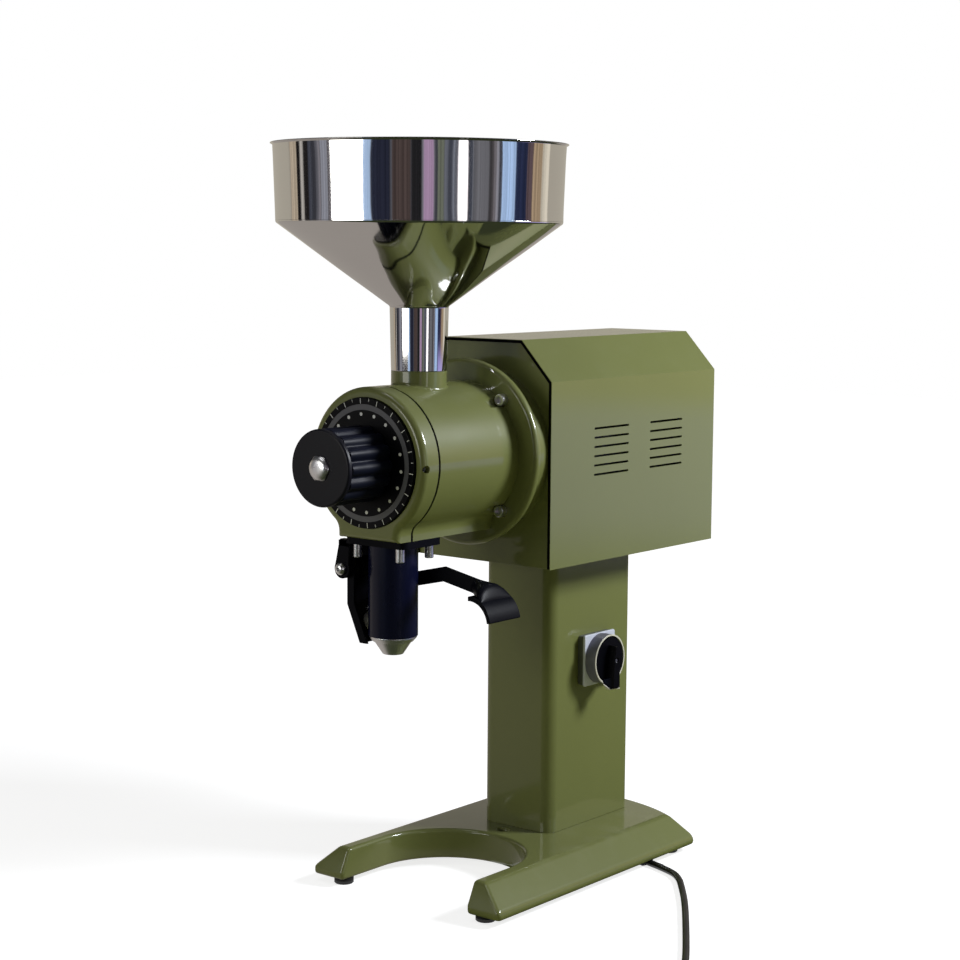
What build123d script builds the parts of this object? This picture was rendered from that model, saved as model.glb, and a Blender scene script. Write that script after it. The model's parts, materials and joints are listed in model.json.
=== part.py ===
from build123d import *
import math
import os

os.makedirs("parts", exist_ok=True)

# Frame: X to the machine's right, Y to its back, Z up, standing surface at Z = 0, millimetres.
# Y = 0 is the middle of the machine's depth. The hopper's neck stands in front of it.

# Clearances
running = 0.05
slip = 0.3
joint_line = 0.5
overcut = 1.0

# Stand and base
foot_height = 8.0
foot_radius = 11.0
foot_chamfer = 1.0
foot_side_gap = 3.0
foot_front_inset = 17.0
foot_rear_inset = 20.0
foot_rear_spread = 8.0
base_top = 43.0
base_edge_z = 17.5
base_half_width = 134.0
base_chamfer = 28.5
base_front_y = -158.5
base_front_lean = 12.0
base_rear_corner_y = 217.0
base_rear_middle_y = 258.0
base_cavity_half_width = 62.0
base_cavity_front_y = 46.0
base_cavity_rear_y = 206.0
base_skin = 8.0
base_cover_thick = 2.0
cut_out_radius = 89.0
cut_out_centre_y = -86.5
drain_hole_radius = 6.0
wire_way_radius = 24.75
drain_hole_x = -5.0
drain_hole_y = 25.0

# Column
column_width = 99.0
column_depth = 161.0
column_corner = 14.0
column_wall = 4.0
column_centre_y = 121.5
column_switch_hole = 22.5

# Motor housing
housing_front_y = -26.5
housing_rear_y = 299.5
housing_half_width = 96.8
housing_top_half_width = 55.2
housing_bottom_z = 363.7
housing_shoulder_z = 569.6
housing_top_z = 614.0
sheet = 2.0
front_plate_recess = 4.0
front_plate_thick = 6.0
front_plate_gap = 1.5
chassis_thick = 6.0
boss_bore_gap = 4.0
air_slots = 8
air_slot_width = 5.0
vent_length = 67.0
vent_height = 2.4
vent_pitch = 10.4
vent_count = 6
vent_top_z = 514.0
vent_front_y = 87.5
vent_rear_y = 197.5

# Grinding head: a barrel along Y with a flat foot below
axis_z = 490.0
neck_y = -134.5
barrel_radius = 79.5
foot_half_width = 42.0
foot_bottom_z = 408.5
foot_fillet = 14.0
front_face_y = -219.0
seam_y = -195.6
gasket_thick = 3.0
flange_front_y = -61.5
flange_rear_y = -50.2
flange_radius = 103.3
flange_round = 5.0
boss_radius = 92.0
chamber_radius = 60.0
chamber_rear_y = -156.5
feed_bore_radius = 33.0
feed_bore_rear_y = -94.5
shaft_bore_gap = 2.0
stub_radius = 30.0
stub_rise = 13.5
stub_bore_radius = 26.0
stub_fillet = 3.0
outlet_y = -175.5
outlet_width = 38.0
outlet_depth = 32.0
outlet_corner = 8.0
flange_bolt_x = 115.0
flange_bolt_z = 121.0
flange_pocket_radius = 7.5
flange_pocket_length = 24.0
flange_bolt_radius = 4.0
flange_bolt_head_radius = 6.5
flange_bolt_head = 8.0
flange_socket_radius = 3.4
hex_sides = 6
set_screw_z = 488.5
set_screw_radius = 4.0
set_screw_depth = 9.0
set_screw_shift = -6.7
set_screw_sunk = 3.5
set_socket_depth = 3.0
set_socket_radius = 2.0
ring_round = 7.0

# Adjuster: dial, knob, spindle and the burr carrier that it pushes
dial_radius = 68.6
dial_recess_gap = 0.6
dial_thick = 10.5
dial_proud = 3.5
dial_track_radius = 61.7
dial_inner_radius = 55.8
dial_step = 0.6
knob_radius = 40.3
knob_lobes = 14
knob_lobe_radius = 7.0
knob_core_radius = 36.2
knob_front_y = -289.5
knob_cap_thick = 5.5
knob_groove = 1.0
knob_groove_radius = 35.0
knob_edge = 1.0
cap_front_round = 2.5
cap_rear_round = 1.0
spindle_radius = 8.0
spindle_thread_radius = 14.0
nut_across_flats = 24.5
nut_height = 3.8
nut_dome_height = 2.2
nut_dome_inset = 0.5
bush_radius = 22.0
bush_wall_front_y = -210.5
bush_wall_rear_y = -200.5
carrier_front_y = -197.5
carrier_rear_y = -187.5
carrier_hub_radius = 19.0
carrier_hub_depth = 4.0
burr_outer_radius = 54.0
burr_inner_radius = 24.0
burr_thick = 9.0
burr_gap = 1.4
burr_teeth = 24
burr_groove = 1.6
burr_groove_length = 26.0
burr_groove_width = 2.4
burr_groove_middle = 38.0
burr_groove_angle = 18.0

# Drive: one shaft from the burr hub to the fan
shaft_radius = 10.0
shaft_front_y = -172.0
shaft_rear_y = 214.0
shaft_chamfer = 1.0
hub_thick = 8.0
hub_core_radius = 15.0
hub_spokes = 3
hub_spoke_width = 9.0
hub_overhang = 1.0
hub_nut_thick = 7.0
screw_pitch = 28.0
screw_outer_radius = 31.5
screw_core_radius = 14.0
screw_flight = 3.5
screw_root = 1.0
screw_front_y = -155.0
screw_rear_y = -97.0
bearing_radius = 24.0
bearing_width = 15.0
head_bearing_y = -86.0
stator_radius = 82.0
stator_bore_radius = 50.0
stator_front_y = 10.0
stator_rear_y = 150.0
air_gap = 0.6
stator_foot_share = 0.85
shield_thick = 22.0
fan_radius = 66.0
fan_blades = 9
fan_y = 186.0
fan_width = 16.0
fan_tip_gap = 8.0
fan_sheet = 3.0
capacitor_radius = 18.0
capacitor_length = 80.0
capacitor_x = 66.0

# Hopper
hopper_lip_radius = 158.0
hopper_wall_height = 81.5
hopper_lip_width = 2.7
hopper_wall_taper = 2.8
hopper_bevel_height = 4.5
hopper_bevel_width = 3.3
hopper_sheet = 1.2
hopper_lip_height = 3.0
cone_low_radius = 31.6
cone_height = 85.5
neck_length = 68.5
neck_low_radius = 30.0
spigot_gap = 0.3
spigot_length = 14.0

# Spout
tube_y = -175.5
tube_radius = 26.7
tube_bore_radius = 23.4
tube_low_z = 301.5
spout_plate_thick = 8.0
spout_plate_half_width = 42.0
spout_plate_half_depth = 32.0
spout_plate_corner = 8.0
spout_bolt_x = 60.0
spout_bolt_y = 47.0
spout_bolt_radius = 3.0
spout_bolt_head_radius = 4.9
spout_bolt_head = 15.0
spout_bolt_grip = 12.0
spout_socket_radius = 2.5
spout_socket_depth = 4.0
ring_height = 6.0
ring_band = 1.5
ring_radius = 25.6
ring_low_radius = 21.8
nozzle_top_radius = 20.3
nozzle_low_radius = 11.1
nozzle_low_z = 281.5
nozzle_sheet = 1.2

# Bag clamp
pivot_x = -46.0
pivot_z = 372.0
pivot_pin_radius = 4.0
knuckle_radius = 8.0
ear_radius = 10.5
ear_thick = 7.0
ear_front_y = -206.5
ear_rear_y = -154.5
ear_root_x = -36.0
ear_root_middle_x = -44.0
ear_root_length = 9.0
ear_neck = 4.0
ear_tuck = 1.0
arm_sheet = 3.0
arm_x = -45.0
arm_flange = 9.7
arm_top_z = 395.0
arm_top_half_width = 17.0
arm_neck_z = 384.0
arm_bend_z = 333.3
arm_low_x = -27.0
arm_low_z = 293.0
arm_hole_y = -168.5
arm_hole_z = 325.0
arm_hole_radius = 4.0
arm_pocket_width = 20.0
arm_pocket_length = 25.0
arm_pocket_z = 347.0
arm_pocket_depth = 1.2
arm_pocket_corner = 6.0
pad_radius = 10.3
pad_z = 312.0
pad_reach = 14.0
pivot_head_radius = 6.5
pivot_head = 6.5
pivot_head_round = 4.5
pivot_nut = 4.0
pivot_nut_radius = 6.5
lever_thick = 6.0
lever_height = 15.5
lever_start = (-41.0, 348.5)
lever_knee = (45.0, 368.6)
lever_end = (106.0, 356.6)
lever_rivet_radius = 4.0
lever_front_y = -146.8
paddle_half_width = 26.0
paddle_top_points = [(97.5, 353.6), (104.5, 353.4), (115.2, 349.2), (122.3, 341.6), (127.7, 328.0)]
paddle_under_points = [(122.9, 327.4), (118.0, 339.6), (112.0, 345.2), (103.6, 348.4), (97.5, 348.6)]
spring_radius = 9.4
spring_wire = 0.9
spring_turns = 5
spring_pitch = 2.34
spring_window_gap = 2.0

# Switch on the column's right side
switch_y = 121.5
switch_z = 239.0
switch_size = 60.0
switch_box_thick = 8.0
switch_box_inset = 1.0
switch_box_corner = 4.0
switch_body_depth = 30.0
switch_body_width = 28.0
switch_plate_thick = 3.0
switch_plate_corner = 3.0
switch_plate_chamfer = 0.8
switch_stem_radius = 5.0
switch_collar_radius = 29.3
switch_collar_wall = 2.0
switch_collar_depth = 14.5
switch_knob_radius = 25.8
switch_knob_thick = 9.0
switch_grip_outline = [(-6.5, -24.5), (6.5, -24.5), (5.6, 0), (2.0, 17.0), (-2.0, 17.0), (-5.6, 0)]
switch_grip_heel = (13.0, 12.0)
switch_grip_heel_z = -27.2
switch_grip_base = 2.0
switch_grip_height = 11.0
switch_grip_taper = 4.0
switch_knob_proud = -1.0
switch_screw_radius = 3.0
switch_screw_depth = 4.0
switch_screw_thick = 2.5

# Cord, laid on the standing surface
cord_radius = 3.75
cord_route = [(124, 133.5), (163, 122), (185, 106.5), (206, 80.5), (240, 35.5),
              (294, -45), (341, -117), (374, -174), (396, -215)]
gland_width = 17.0
gland_corner = 2.0
gland_length = 20.0
coil_middle_radius = 41.0
coil_layers = 3
coil_notch_gap = 1.0
bend_share = 0.45
plug_radius = 17.0
plug_body = 34.0
plug_relief = 30.0
plug_round = 4.0
pin_radius = 2.4
pin_length = 19.0
pin_spacing = 19.0


def front_plane(y):
    """Plane across the machine at depth y. Its sketch axes are X and Z, its normal faces the front."""
    return Plane.XZ.offset(-y)


def side_plane(x):
    """Plane along the machine at x. Its sketch axes are Y and Z, its normal faces right."""
    return Plane.YZ.offset(x)


def finish(part, name):
    part.label = name
    export_step(part, "parts/" + name + ".step")


def head_outline(inset):
    """Barrel circle joined to the foot below it by hollow corners, drawn about the barrel's axis."""
    foot_depth = axis_z - foot_bottom_z - inset
    with BuildSketch() as outline:
        Circle(barrel_radius - inset)
        with Locations((0, -foot_depth / 2)):
            Rectangle(2 * (foot_half_width - inset), foot_depth)
        hollow = outline.vertices().filter_by(lambda v: -foot_depth + 1 < v.Y < -1)
        fillet(hollow, foot_fillet)
    return outline.sketch


def housing_outline(inset, low_z):
    """Housing section: upright sides, two slanted shoulders and a flat top."""
    slope = math.atan2(housing_top_z - housing_shoulder_z, housing_half_width - housing_top_half_width)
    shift = inset * math.tan(math.pi / 4 - slope / 2)
    rise = inset * math.tan(slope / 2)
    side = housing_half_width - inset
    top = housing_top_half_width - rise
    shoulder = housing_shoulder_z - shift
    with BuildSketch() as outline:
        with BuildLine():
            Polyline((-side, low_z), (side, low_z), (side, shoulder),
                     (top, housing_top_z - inset), (-top, housing_top_z - inset),
                     (-side, shoulder), close=True)
        make_face()
    return outline.sketch


# Base: a U-shaped casting with sloping sides, standing on four feet
with BuildPart() as base_casting:
    with BuildSketch(Plane.XY.offset(foot_height)) as base_plan:
        with BuildLine():
            right_side = Line((base_half_width, base_front_y), (base_half_width, base_rear_corner_y))
            rear = ThreePointArc(right_side @ 1, (0, base_rear_middle_y),
                                 (-base_half_width, base_rear_corner_y))
            left_side = Line(rear @ 1, (-base_half_width, base_front_y))
            Line(left_side @ 1, right_side @ 0)
        make_face()
    extrude(amount=base_top - foot_height)
    outer_rim = base_casting.faces().sort_by(Axis.Z)[-1].edges().sort_by(Axis.Y)[1:]
    chamfer(outer_rim, length=base_top - base_edge_z, length2=base_chamfer)
    with BuildSketch(side_plane(-base_half_width)) as front_slope:
        with BuildLine():
            Polyline((base_front_y, base_edge_z), (base_front_y + base_front_lean, base_top),
                     (base_front_y + base_front_lean, base_top + overcut),
                     (base_front_y - overcut, base_top + overcut),
                     (base_front_y - overcut, base_edge_z), close=True)
        make_face()
    extrude(amount=2 * base_half_width, mode=Mode.SUBTRACT)
    with BuildSketch(Plane.XY.offset(foot_height)) as cut_out:
        with BuildLine():
            mouth_right = Line((cut_out_radius, base_front_y - overcut),
                               (cut_out_radius, cut_out_centre_y))
            inner_end = ThreePointArc(mouth_right @ 1, (0, cut_out_centre_y + cut_out_radius),
                                      (-cut_out_radius, cut_out_centre_y))
            mouth_left = Line(inner_end @ 1, (-cut_out_radius, base_front_y - overcut))
            Line(mouth_left @ 1, mouth_right @ 0)
        make_face()
    extrude(amount=base_top, mode=Mode.SUBTRACT)
    with BuildSketch(Plane.XY.offset(foot_height)) as cavity:
        with Locations((0, (base_cavity_front_y + base_cavity_rear_y) / 2)):
            Rectangle(2 * base_cavity_half_width, base_cavity_rear_y - base_cavity_front_y)
        fillet(cavity.vertices(), base_skin)
    extrude(amount=base_top - foot_height - base_skin, mode=Mode.SUBTRACT)
    with BuildSketch(Plane.XY.offset(foot_height)) as wire_way:
        with Locations((0, column_centre_y)):
            Circle(wire_way_radius)
        with Locations((drain_hole_x, drain_hole_y)):
            Circle(drain_hole_radius)
    extrude(amount=base_top, mode=Mode.SUBTRACT)
finish(base_casting.part, "base_casting")

with BuildPart() as base_cover:
    with BuildSketch(Plane.XY.offset(foot_height)) as cover_plan:
        with Locations((0, (base_cavity_front_y + base_cavity_rear_y) / 2)):
            Rectangle(2 * (base_cavity_half_width - slip),
                      base_cavity_rear_y - base_cavity_front_y - 2 * slip)
        fillet(cover_plan.vertices(), base_skin - slip)
    extrude(amount=base_cover_thick)
finish(base_cover.part, "base_cover")

foot_x = base_half_width - base_chamfer - foot_side_gap
foot_front_y = base_front_y + foot_front_inset
foot_rear_x = foot_x + foot_rear_spread
foot_rear_y = base_rear_corner_y - foot_rear_inset
foot_places = [(-foot_x, foot_front_y), (foot_x, foot_front_y),
               (-foot_rear_x, foot_rear_y), (foot_rear_x, foot_rear_y)]
with BuildPart() as rubber_feet:
    with BuildSketch():
        with Locations(*foot_places):
            Circle(foot_radius)
    extrude(amount=foot_height)
    chamfer(rubber_feet.edges().group_by(Axis.Z)[0], length=foot_chamfer)
finish(rubber_feet.part, "rubber_feet")

# Column: a rounded rectangular tube from the base to the motor housing
with BuildPart() as column:
    with BuildSketch(Plane.XY.offset(base_top)):
        with Locations((0, column_centre_y)):
            RectangleRounded(column_width, column_depth, column_corner)
            RectangleRounded(column_width - 2 * column_wall, column_depth - 2 * column_wall,
                             column_corner - column_wall, mode=Mode.SUBTRACT)
    extrude(amount=housing_bottom_z - base_top)
    with BuildSketch(side_plane(column_width / 2 - 2 * column_wall)):
        with Locations((switch_y, switch_z)):
            Circle(column_switch_hole)
    extrude(amount=3 * column_wall, mode=Mode.SUBTRACT)
finish(column.part, "column")

# Motor housing: chassis plate, front plate with the round boss, folded cover, back panel
plate_front_y = housing_front_y + front_plate_recess
plate_rear_y = plate_front_y + front_plate_thick
chassis_half_width = housing_half_width - sheet
with BuildPart() as chassis_plate:
    with BuildSketch(Plane.XY.offset(housing_bottom_z)):
        with Locations((0, (plate_rear_y + housing_rear_y - sheet) / 2)):
            Rectangle(2 * chassis_half_width, housing_rear_y - sheet - plate_rear_y)
        with Locations((0, column_centre_y)):
            Rectangle(column_width / 2, column_depth / 2, mode=Mode.SUBTRACT)
    extrude(amount=chassis_thick)
finish(chassis_plate.part, "chassis_plate")

with BuildPart() as front_plate:
    with BuildSketch(front_plane(plate_rear_y)):
        add(housing_outline(sheet + front_plate_gap, housing_bottom_z))
    extrude(amount=front_plate_thick)
    with BuildSketch(front_plane(plate_front_y)):
        with Locations((0, axis_z)):
            Circle(boss_radius)
    extrude(amount=plate_front_y - flange_rear_y)
    with BuildSketch(front_plane(plate_rear_y)):
        with Locations((0, axis_z)):
            Circle(shaft_radius + boss_bore_gap)
            with GridLocations(flange_bolt_x, flange_bolt_z, 2, 2):
                Circle(flange_bolt_radius)
    extrude(amount=plate_rear_y - flange_rear_y, mode=Mode.SUBTRACT)
finish(front_plate.part, "front_plate")

with BuildPart() as motor_cover:
    with BuildSketch(front_plane(housing_rear_y)):
        add(housing_outline(0, housing_bottom_z))
        add(housing_outline(sheet, housing_bottom_z), mode=Mode.SUBTRACT)
        with Locations((0, housing_bottom_z)):
            Rectangle(2 * chassis_half_width, 2 * sheet, mode=Mode.SUBTRACT)
    extrude(amount=housing_rear_y - housing_front_y)
    with BuildSketch(side_plane(-housing_half_width - overcut)):
        for group_y in (vent_front_y, vent_rear_y):
            for row in range(vent_count):
                with Locations((group_y, vent_top_z - row * vent_pitch)):
                    SlotOverall(vent_length, vent_height)
    extrude(amount=2 * (housing_half_width + overcut), mode=Mode.SUBTRACT)
finish(motor_cover.part, "motor_cover")

with BuildPart() as back_panel:
    with BuildSketch(front_plane(housing_rear_y)):
        add(housing_outline(sheet, housing_bottom_z + sheet))
        with Locations((0, axis_z)):
            with PolarLocations(fan_radius / 2, air_slots):
                SlotOverall(fan_radius / 2, air_slot_width, mode=Mode.SUBTRACT)
    extrude(amount=sheet)
finish(back_panel.part, "back_panel")

# Grinding head: one casting with the barrel, its foot, the inlet stub and the rear flange
barrel_front_y = seam_y + gasket_thick
stub_top_z = axis_z + barrel_radius + stub_rise
with BuildPart() as grinder_head:
    with BuildSketch(front_plane(flange_front_y)):
        with Locations((0, axis_z)):
            add(head_outline(0))
    extrude(amount=flange_front_y - barrel_front_y)
    with BuildSketch(Plane.XY.offset(axis_z)):
        with Locations((0, neck_y)):
            Circle(stub_radius)
    extrude(amount=stub_top_z - axis_z)
    stub_root = grinder_head.edges().filter_by(GeomType.BSPLINE).group_by(Axis.Z)[-1]
    fillet(stub_root, stub_fillet)
    with BuildSketch(front_plane(flange_rear_y)):
        with Locations((0, axis_z)):
            Circle(flange_radius)
    flange = extrude(amount=flange_rear_y - flange_front_y, mode=Mode.PRIVATE)
    flange_rims = flange.edges().filter_by(GeomType.CIRCLE)
    add(flange.fillet(flange_round, flange_rims))
    with BuildSketch(front_plane(chamber_rear_y)):
        with Locations((0, axis_z)):
            Circle(chamber_radius)
    extrude(amount=chamber_rear_y - barrel_front_y, mode=Mode.SUBTRACT)
    with BuildSketch(front_plane(feed_bore_rear_y)):
        with Locations((0, axis_z)):
            Circle(feed_bore_radius)
    extrude(amount=feed_bore_rear_y - chamber_rear_y, mode=Mode.SUBTRACT)
    with BuildSketch(front_plane(flange_rear_y)):
        with Locations((0, axis_z)):
            Circle(bearing_radius + running)
    extrude(amount=flange_rear_y - head_bearing_y, mode=Mode.SUBTRACT)
    with BuildSketch(front_plane(flange_rear_y)):
        with Locations((0, axis_z)):
            Circle(shaft_radius + shaft_bore_gap)
            with GridLocations(flange_bolt_x, flange_bolt_z, 2, 2):
                Circle(flange_bolt_radius)
    extrude(amount=flange_rear_y - chamber_rear_y, mode=Mode.SUBTRACT)
    with BuildSketch(Plane.XY.offset(axis_z)):
        with Locations((0, neck_y)):
            Circle(stub_bore_radius)
    extrude(amount=stub_top_z - axis_z, mode=Mode.SUBTRACT)
    with BuildSketch(Plane.XY.offset(foot_bottom_z)):
        with Locations((0, outlet_y)):
            with GridLocations(spout_bolt_x, spout_bolt_y, 2, 2):
                Circle(spout_bolt_radius)
    extrude(amount=spout_bolt_grip, mode=Mode.SUBTRACT)
    with BuildSketch(Plane.XY.offset(foot_bottom_z)):
        with Locations((0, outlet_y)):
            RectangleRounded(outlet_width, outlet_depth, outlet_corner)
    extrude(amount=axis_z - foot_bottom_z - chamber_radius / 2, mode=Mode.SUBTRACT)
    with BuildSketch(front_plane(flange_front_y)):
        with Locations((0, axis_z)):
            with GridLocations(flange_bolt_x, flange_bolt_z, 2, 2):
                Circle(flange_pocket_radius)
    extrude(amount=flange_pocket_length, mode=Mode.SUBTRACT)
finish(grinder_head.part, "grinder_head")

with BuildPart() as flange_screws:
    with BuildSketch(front_plane(flange_front_y)):
        with Locations((0, axis_z)):
            with GridLocations(flange_bolt_x, flange_bolt_z, 2, 2):
                Circle(flange_bolt_head_radius)
                RegularPolygon(flange_socket_radius, hex_sides, mode=Mode.SUBTRACT)
    extrude(amount=flange_bolt_head)
    with BuildSketch(front_plane(flange_front_y)):
        with Locations((0, axis_z)):
            with GridLocations(flange_bolt_x, flange_bolt_z, 2, 2):
                Circle(flange_bolt_head_radius)
    extrude(amount=flange_bolt_head / 2)
    with BuildSketch(front_plane(plate_front_y)):
        with Locations((0, axis_z)):
            with GridLocations(flange_bolt_x, flange_bolt_z, 2, 2):
                Circle(flange_bolt_radius - running)
    extrude(amount=plate_front_y - flange_front_y)
finish(flange_screws.part, "flange_screws")

# Adjuster housing: the front ring that holds the dial's bush
set_screw_y = (front_face_y + seam_y) / 2 + set_screw_shift
with BuildPart() as adjuster_housing:
    with BuildSketch(front_plane(seam_y)):
        with Locations((0, axis_z)):
            add(head_outline(0))
    extrude(amount=seam_y - front_face_y)
    fillet(adjuster_housing.faces().sort_by(Axis.Y)[0].edges(), ring_round)
    with BuildSketch(front_plane(bush_wall_front_y)):
        with Locations((0, axis_z)):
            Circle(dial_radius + dial_recess_gap)
    extrude(amount=bush_wall_front_y - front_face_y, mode=Mode.SUBTRACT)
    with BuildSketch(front_plane(seam_y)):
        with Locations((0, axis_z)):
            Circle(chamber_radius)
    extrude(amount=seam_y - bush_wall_rear_y, mode=Mode.SUBTRACT)
    with BuildSketch(front_plane(seam_y)):
        with Locations((0, axis_z)):
            Circle(bush_radius)
    extrude(amount=seam_y - front_face_y, mode=Mode.SUBTRACT)
    with BuildSketch(side_plane(barrel_radius - set_screw_depth)):
        with Locations((set_screw_y, set_screw_z)):
            Circle(set_screw_radius)
    extrude(amount=2 * set_screw_depth, mode=Mode.SUBTRACT)
    with BuildSketch(Plane.XY.offset(foot_bottom_z)):
        with Locations((0, outlet_y - spout_bolt_y / 2)):
            with GridLocations(spout_bolt_x, 0, 2, 1):
                Circle(spout_bolt_radius)
    extrude(amount=spout_bolt_grip, mode=Mode.SUBTRACT)
finish(adjuster_housing.part, "adjuster_housing")

with BuildPart() as ring_set_screw:
    with BuildSketch(side_plane(barrel_radius - set_screw_depth)):
        with Locations((set_screw_y, set_screw_z)):
            Circle(set_screw_radius - running)
    extrude(amount=set_screw_depth - set_screw_sunk)
    with BuildSketch(side_plane(barrel_radius - set_screw_sunk - set_socket_depth)):
        with Locations((set_screw_y, set_screw_z)):
            RegularPolygon(set_socket_radius, hex_sides)
    extrude(amount=set_screw_depth, mode=Mode.SUBTRACT)
finish(ring_set_screw.part, "ring_set_screw")

with BuildPart() as head_gasket:
    with BuildSketch(front_plane(seam_y + gasket_thick)):
        with Locations((0, axis_z)):
            add(head_outline(joint_line))
            Circle(chamber_radius + 2 * joint_line, mode=Mode.SUBTRACT)
    extrude(amount=gasket_thick)
finish(head_gasket.part, "head_gasket")

with BuildPart() as adjuster_bush:
    with BuildSketch(front_plane(bush_wall_rear_y)):
        with Locations((0, axis_z)):
            Circle(bush_radius)
            Circle(spindle_thread_radius + running, mode=Mode.SUBTRACT)
    extrude(amount=bush_wall_rear_y - bush_wall_front_y)
finish(adjuster_bush.part, "adjuster_bush")

# Adjusting spindle, dial, lobed knob, cap and domed nut: these turn together
dial_front_y = front_face_y - dial_proud
dial_rear_y = dial_front_y + dial_thick
spindle_rear_y = carrier_front_y - running
with BuildPart() as adjusting_spindle:
    with BuildSketch(front_plane(dial_rear_y)):
        with Locations((0, axis_z)):
            Circle(spindle_radius)
    extrude(amount=dial_rear_y - knob_front_y + nut_height)
    with BuildSketch(front_plane(spindle_rear_y)):
        with Locations((0, axis_z)):
            Circle(spindle_thread_radius)
    extrude(amount=spindle_rear_y - dial_rear_y)
finish(adjusting_spindle.part, "adjusting_spindle")

with BuildPart() as grind_dial:
    with BuildSketch(front_plane(dial_rear_y)):
        with Locations((0, axis_z)):
            Circle(dial_radius)
            Circle(spindle_radius, mode=Mode.SUBTRACT)
    extrude(amount=dial_thick)
    with BuildSketch(front_plane(dial_front_y + dial_step)):
        with Locations((0, axis_z)):
            Circle(dial_track_radius)
            Circle(dial_inner_radius, mode=Mode.SUBTRACT)
    extrude(amount=dial_step, mode=Mode.SUBTRACT)
finish(grind_dial.part, "grind_dial")

knob_body_front_y = knob_front_y + knob_cap_thick + knob_groove
with BuildPart() as grind_knob:
    with BuildSketch(front_plane(dial_front_y)) as knob_plan:
        with Locations((0, axis_z)):
            Circle(knob_core_radius)
            with PolarLocations(knob_radius - knob_lobe_radius, knob_lobes):
                Circle(knob_lobe_radius)
    extrude(amount=dial_front_y - knob_body_front_y)
    chamfer(grind_knob.faces().sort_by(Axis.Y)[0].edges(), length=knob_edge)
    with BuildSketch(front_plane(knob_body_front_y)):
        with Locations((0, axis_z)):
            Circle(knob_groove_radius)
    extrude(amount=knob_groove)
    with BuildSketch(front_plane(dial_front_y)):
        with Locations((0, axis_z)):
            Circle(spindle_radius)
    extrude(amount=dial_front_y - knob_front_y, mode=Mode.SUBTRACT)
finish(grind_knob.part, "grind_knob")

with BuildPart() as knob_cap:
    with BuildSketch(front_plane(knob_front_y + knob_cap_thick)):
        with Locations((0, axis_z)):
            Circle(knob_radius)
    extrude(amount=knob_cap_thick)
    fillet(knob_cap.edges().group_by(Axis.Y)[0], cap_front_round)
    fillet(knob_cap.edges().group_by(Axis.Y)[-1], cap_rear_round)
    with BuildSketch(front_plane(knob_front_y + knob_cap_thick)):
        with Locations((0, axis_z)):
            Circle(spindle_radius)
    extrude(amount=knob_cap_thick, mode=Mode.SUBTRACT)
finish(knob_cap.part, "knob_cap")

with BuildPart() as knob_nut:
    with BuildSketch(front_plane(knob_front_y)):
        with Locations((0, axis_z)):
            RegularPolygon(nut_across_flats / 2, hex_sides, major_radius=False)
            Circle(spindle_radius, mode=Mode.SUBTRACT)
    extrude(amount=nut_height)
    with BuildSketch(front_plane(knob_front_y - nut_height)):
        with Locations((0, axis_z)):
            Circle(nut_across_flats / 2 - nut_dome_inset)
    extrude(amount=nut_dome_height)
    fillet(knob_nut.edges().group_by(Axis.Y)[0], nut_dome_height - nut_dome_inset)
finish(knob_nut.part, "knob_nut")

# Burr carrier and the burr on it: they slide, but don't turn
with BuildPart() as burr_carrier:
    with BuildSketch(front_plane(carrier_rear_y)):
        with Locations((0, axis_z)):
            Circle(chamber_radius - running)
    extrude(amount=carrier_rear_y - carrier_front_y)
    with BuildSketch(front_plane(carrier_rear_y)):
        with Locations((0, axis_z)):
            Circle(carrier_hub_radius)
    extrude(amount=carrier_hub_depth, mode=Mode.SUBTRACT)
finish(burr_carrier.part, "burr_carrier")

stationary_rear_y = carrier_rear_y + burr_thick
rotating_front_y = stationary_rear_y + burr_gap
with BuildPart() as stationary_burr:
    with BuildSketch(front_plane(stationary_rear_y)):
        with Locations((0, axis_z)):
            Circle(burr_outer_radius)
            Circle(burr_inner_radius, mode=Mode.SUBTRACT)
    extrude(amount=burr_thick)
    with BuildSketch(front_plane(stationary_rear_y)):
        with Locations((0, axis_z)):
            with PolarLocations(burr_groove_middle, burr_teeth):
                Rectangle(burr_groove_length, burr_groove_width, burr_groove_angle)
    extrude(amount=burr_groove, mode=Mode.SUBTRACT)
finish(stationary_burr.part, "stationary_burr")

rotating_rear_y = rotating_front_y + burr_thick
with BuildPart() as rotating_burr:
    with BuildSketch(front_plane(rotating_rear_y)):
        with Locations((0, axis_z)):
            Circle(burr_outer_radius)
            Circle(burr_inner_radius, mode=Mode.SUBTRACT)
    extrude(amount=burr_thick)
    with BuildSketch(front_plane(rotating_front_y + burr_groove)):
        with Locations((0, axis_z)):
            with PolarLocations(burr_groove_middle, burr_teeth):
                Rectangle(burr_groove_length, burr_groove_width, -burr_groove_angle)
    extrude(amount=burr_groove, mode=Mode.SUBTRACT)
finish(rotating_burr.part, "rotating_burr")

# Drive: burr hub, feed screw, shaft, rotor and fan turn together
hub_rear_y = rotating_rear_y + hub_thick
with BuildPart() as burr_hub:
    with BuildSketch(front_plane(hub_rear_y)):
        with Locations((0, axis_z)):
            Circle(burr_outer_radius + hub_overhang)
            Circle(burr_inner_radius, mode=Mode.SUBTRACT)
            Circle(hub_core_radius)
            with PolarLocations((burr_inner_radius + hub_core_radius) / 2, hub_spokes):
                Rectangle(burr_inner_radius, hub_spoke_width)
            Circle(shaft_radius, mode=Mode.SUBTRACT)
    extrude(amount=hub_thick)
finish(burr_hub.part, "burr_hub")

with BuildPart() as drive_shaft:
    with BuildSketch(front_plane(shaft_rear_y)):
        with Locations((0, axis_z)):
            Circle(shaft_radius)
    extrude(amount=shaft_rear_y - shaft_front_y)
    chamfer(drive_shaft.edges(), length=shaft_chamfer)
finish(drive_shaft.part, "drive_shaft")

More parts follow.
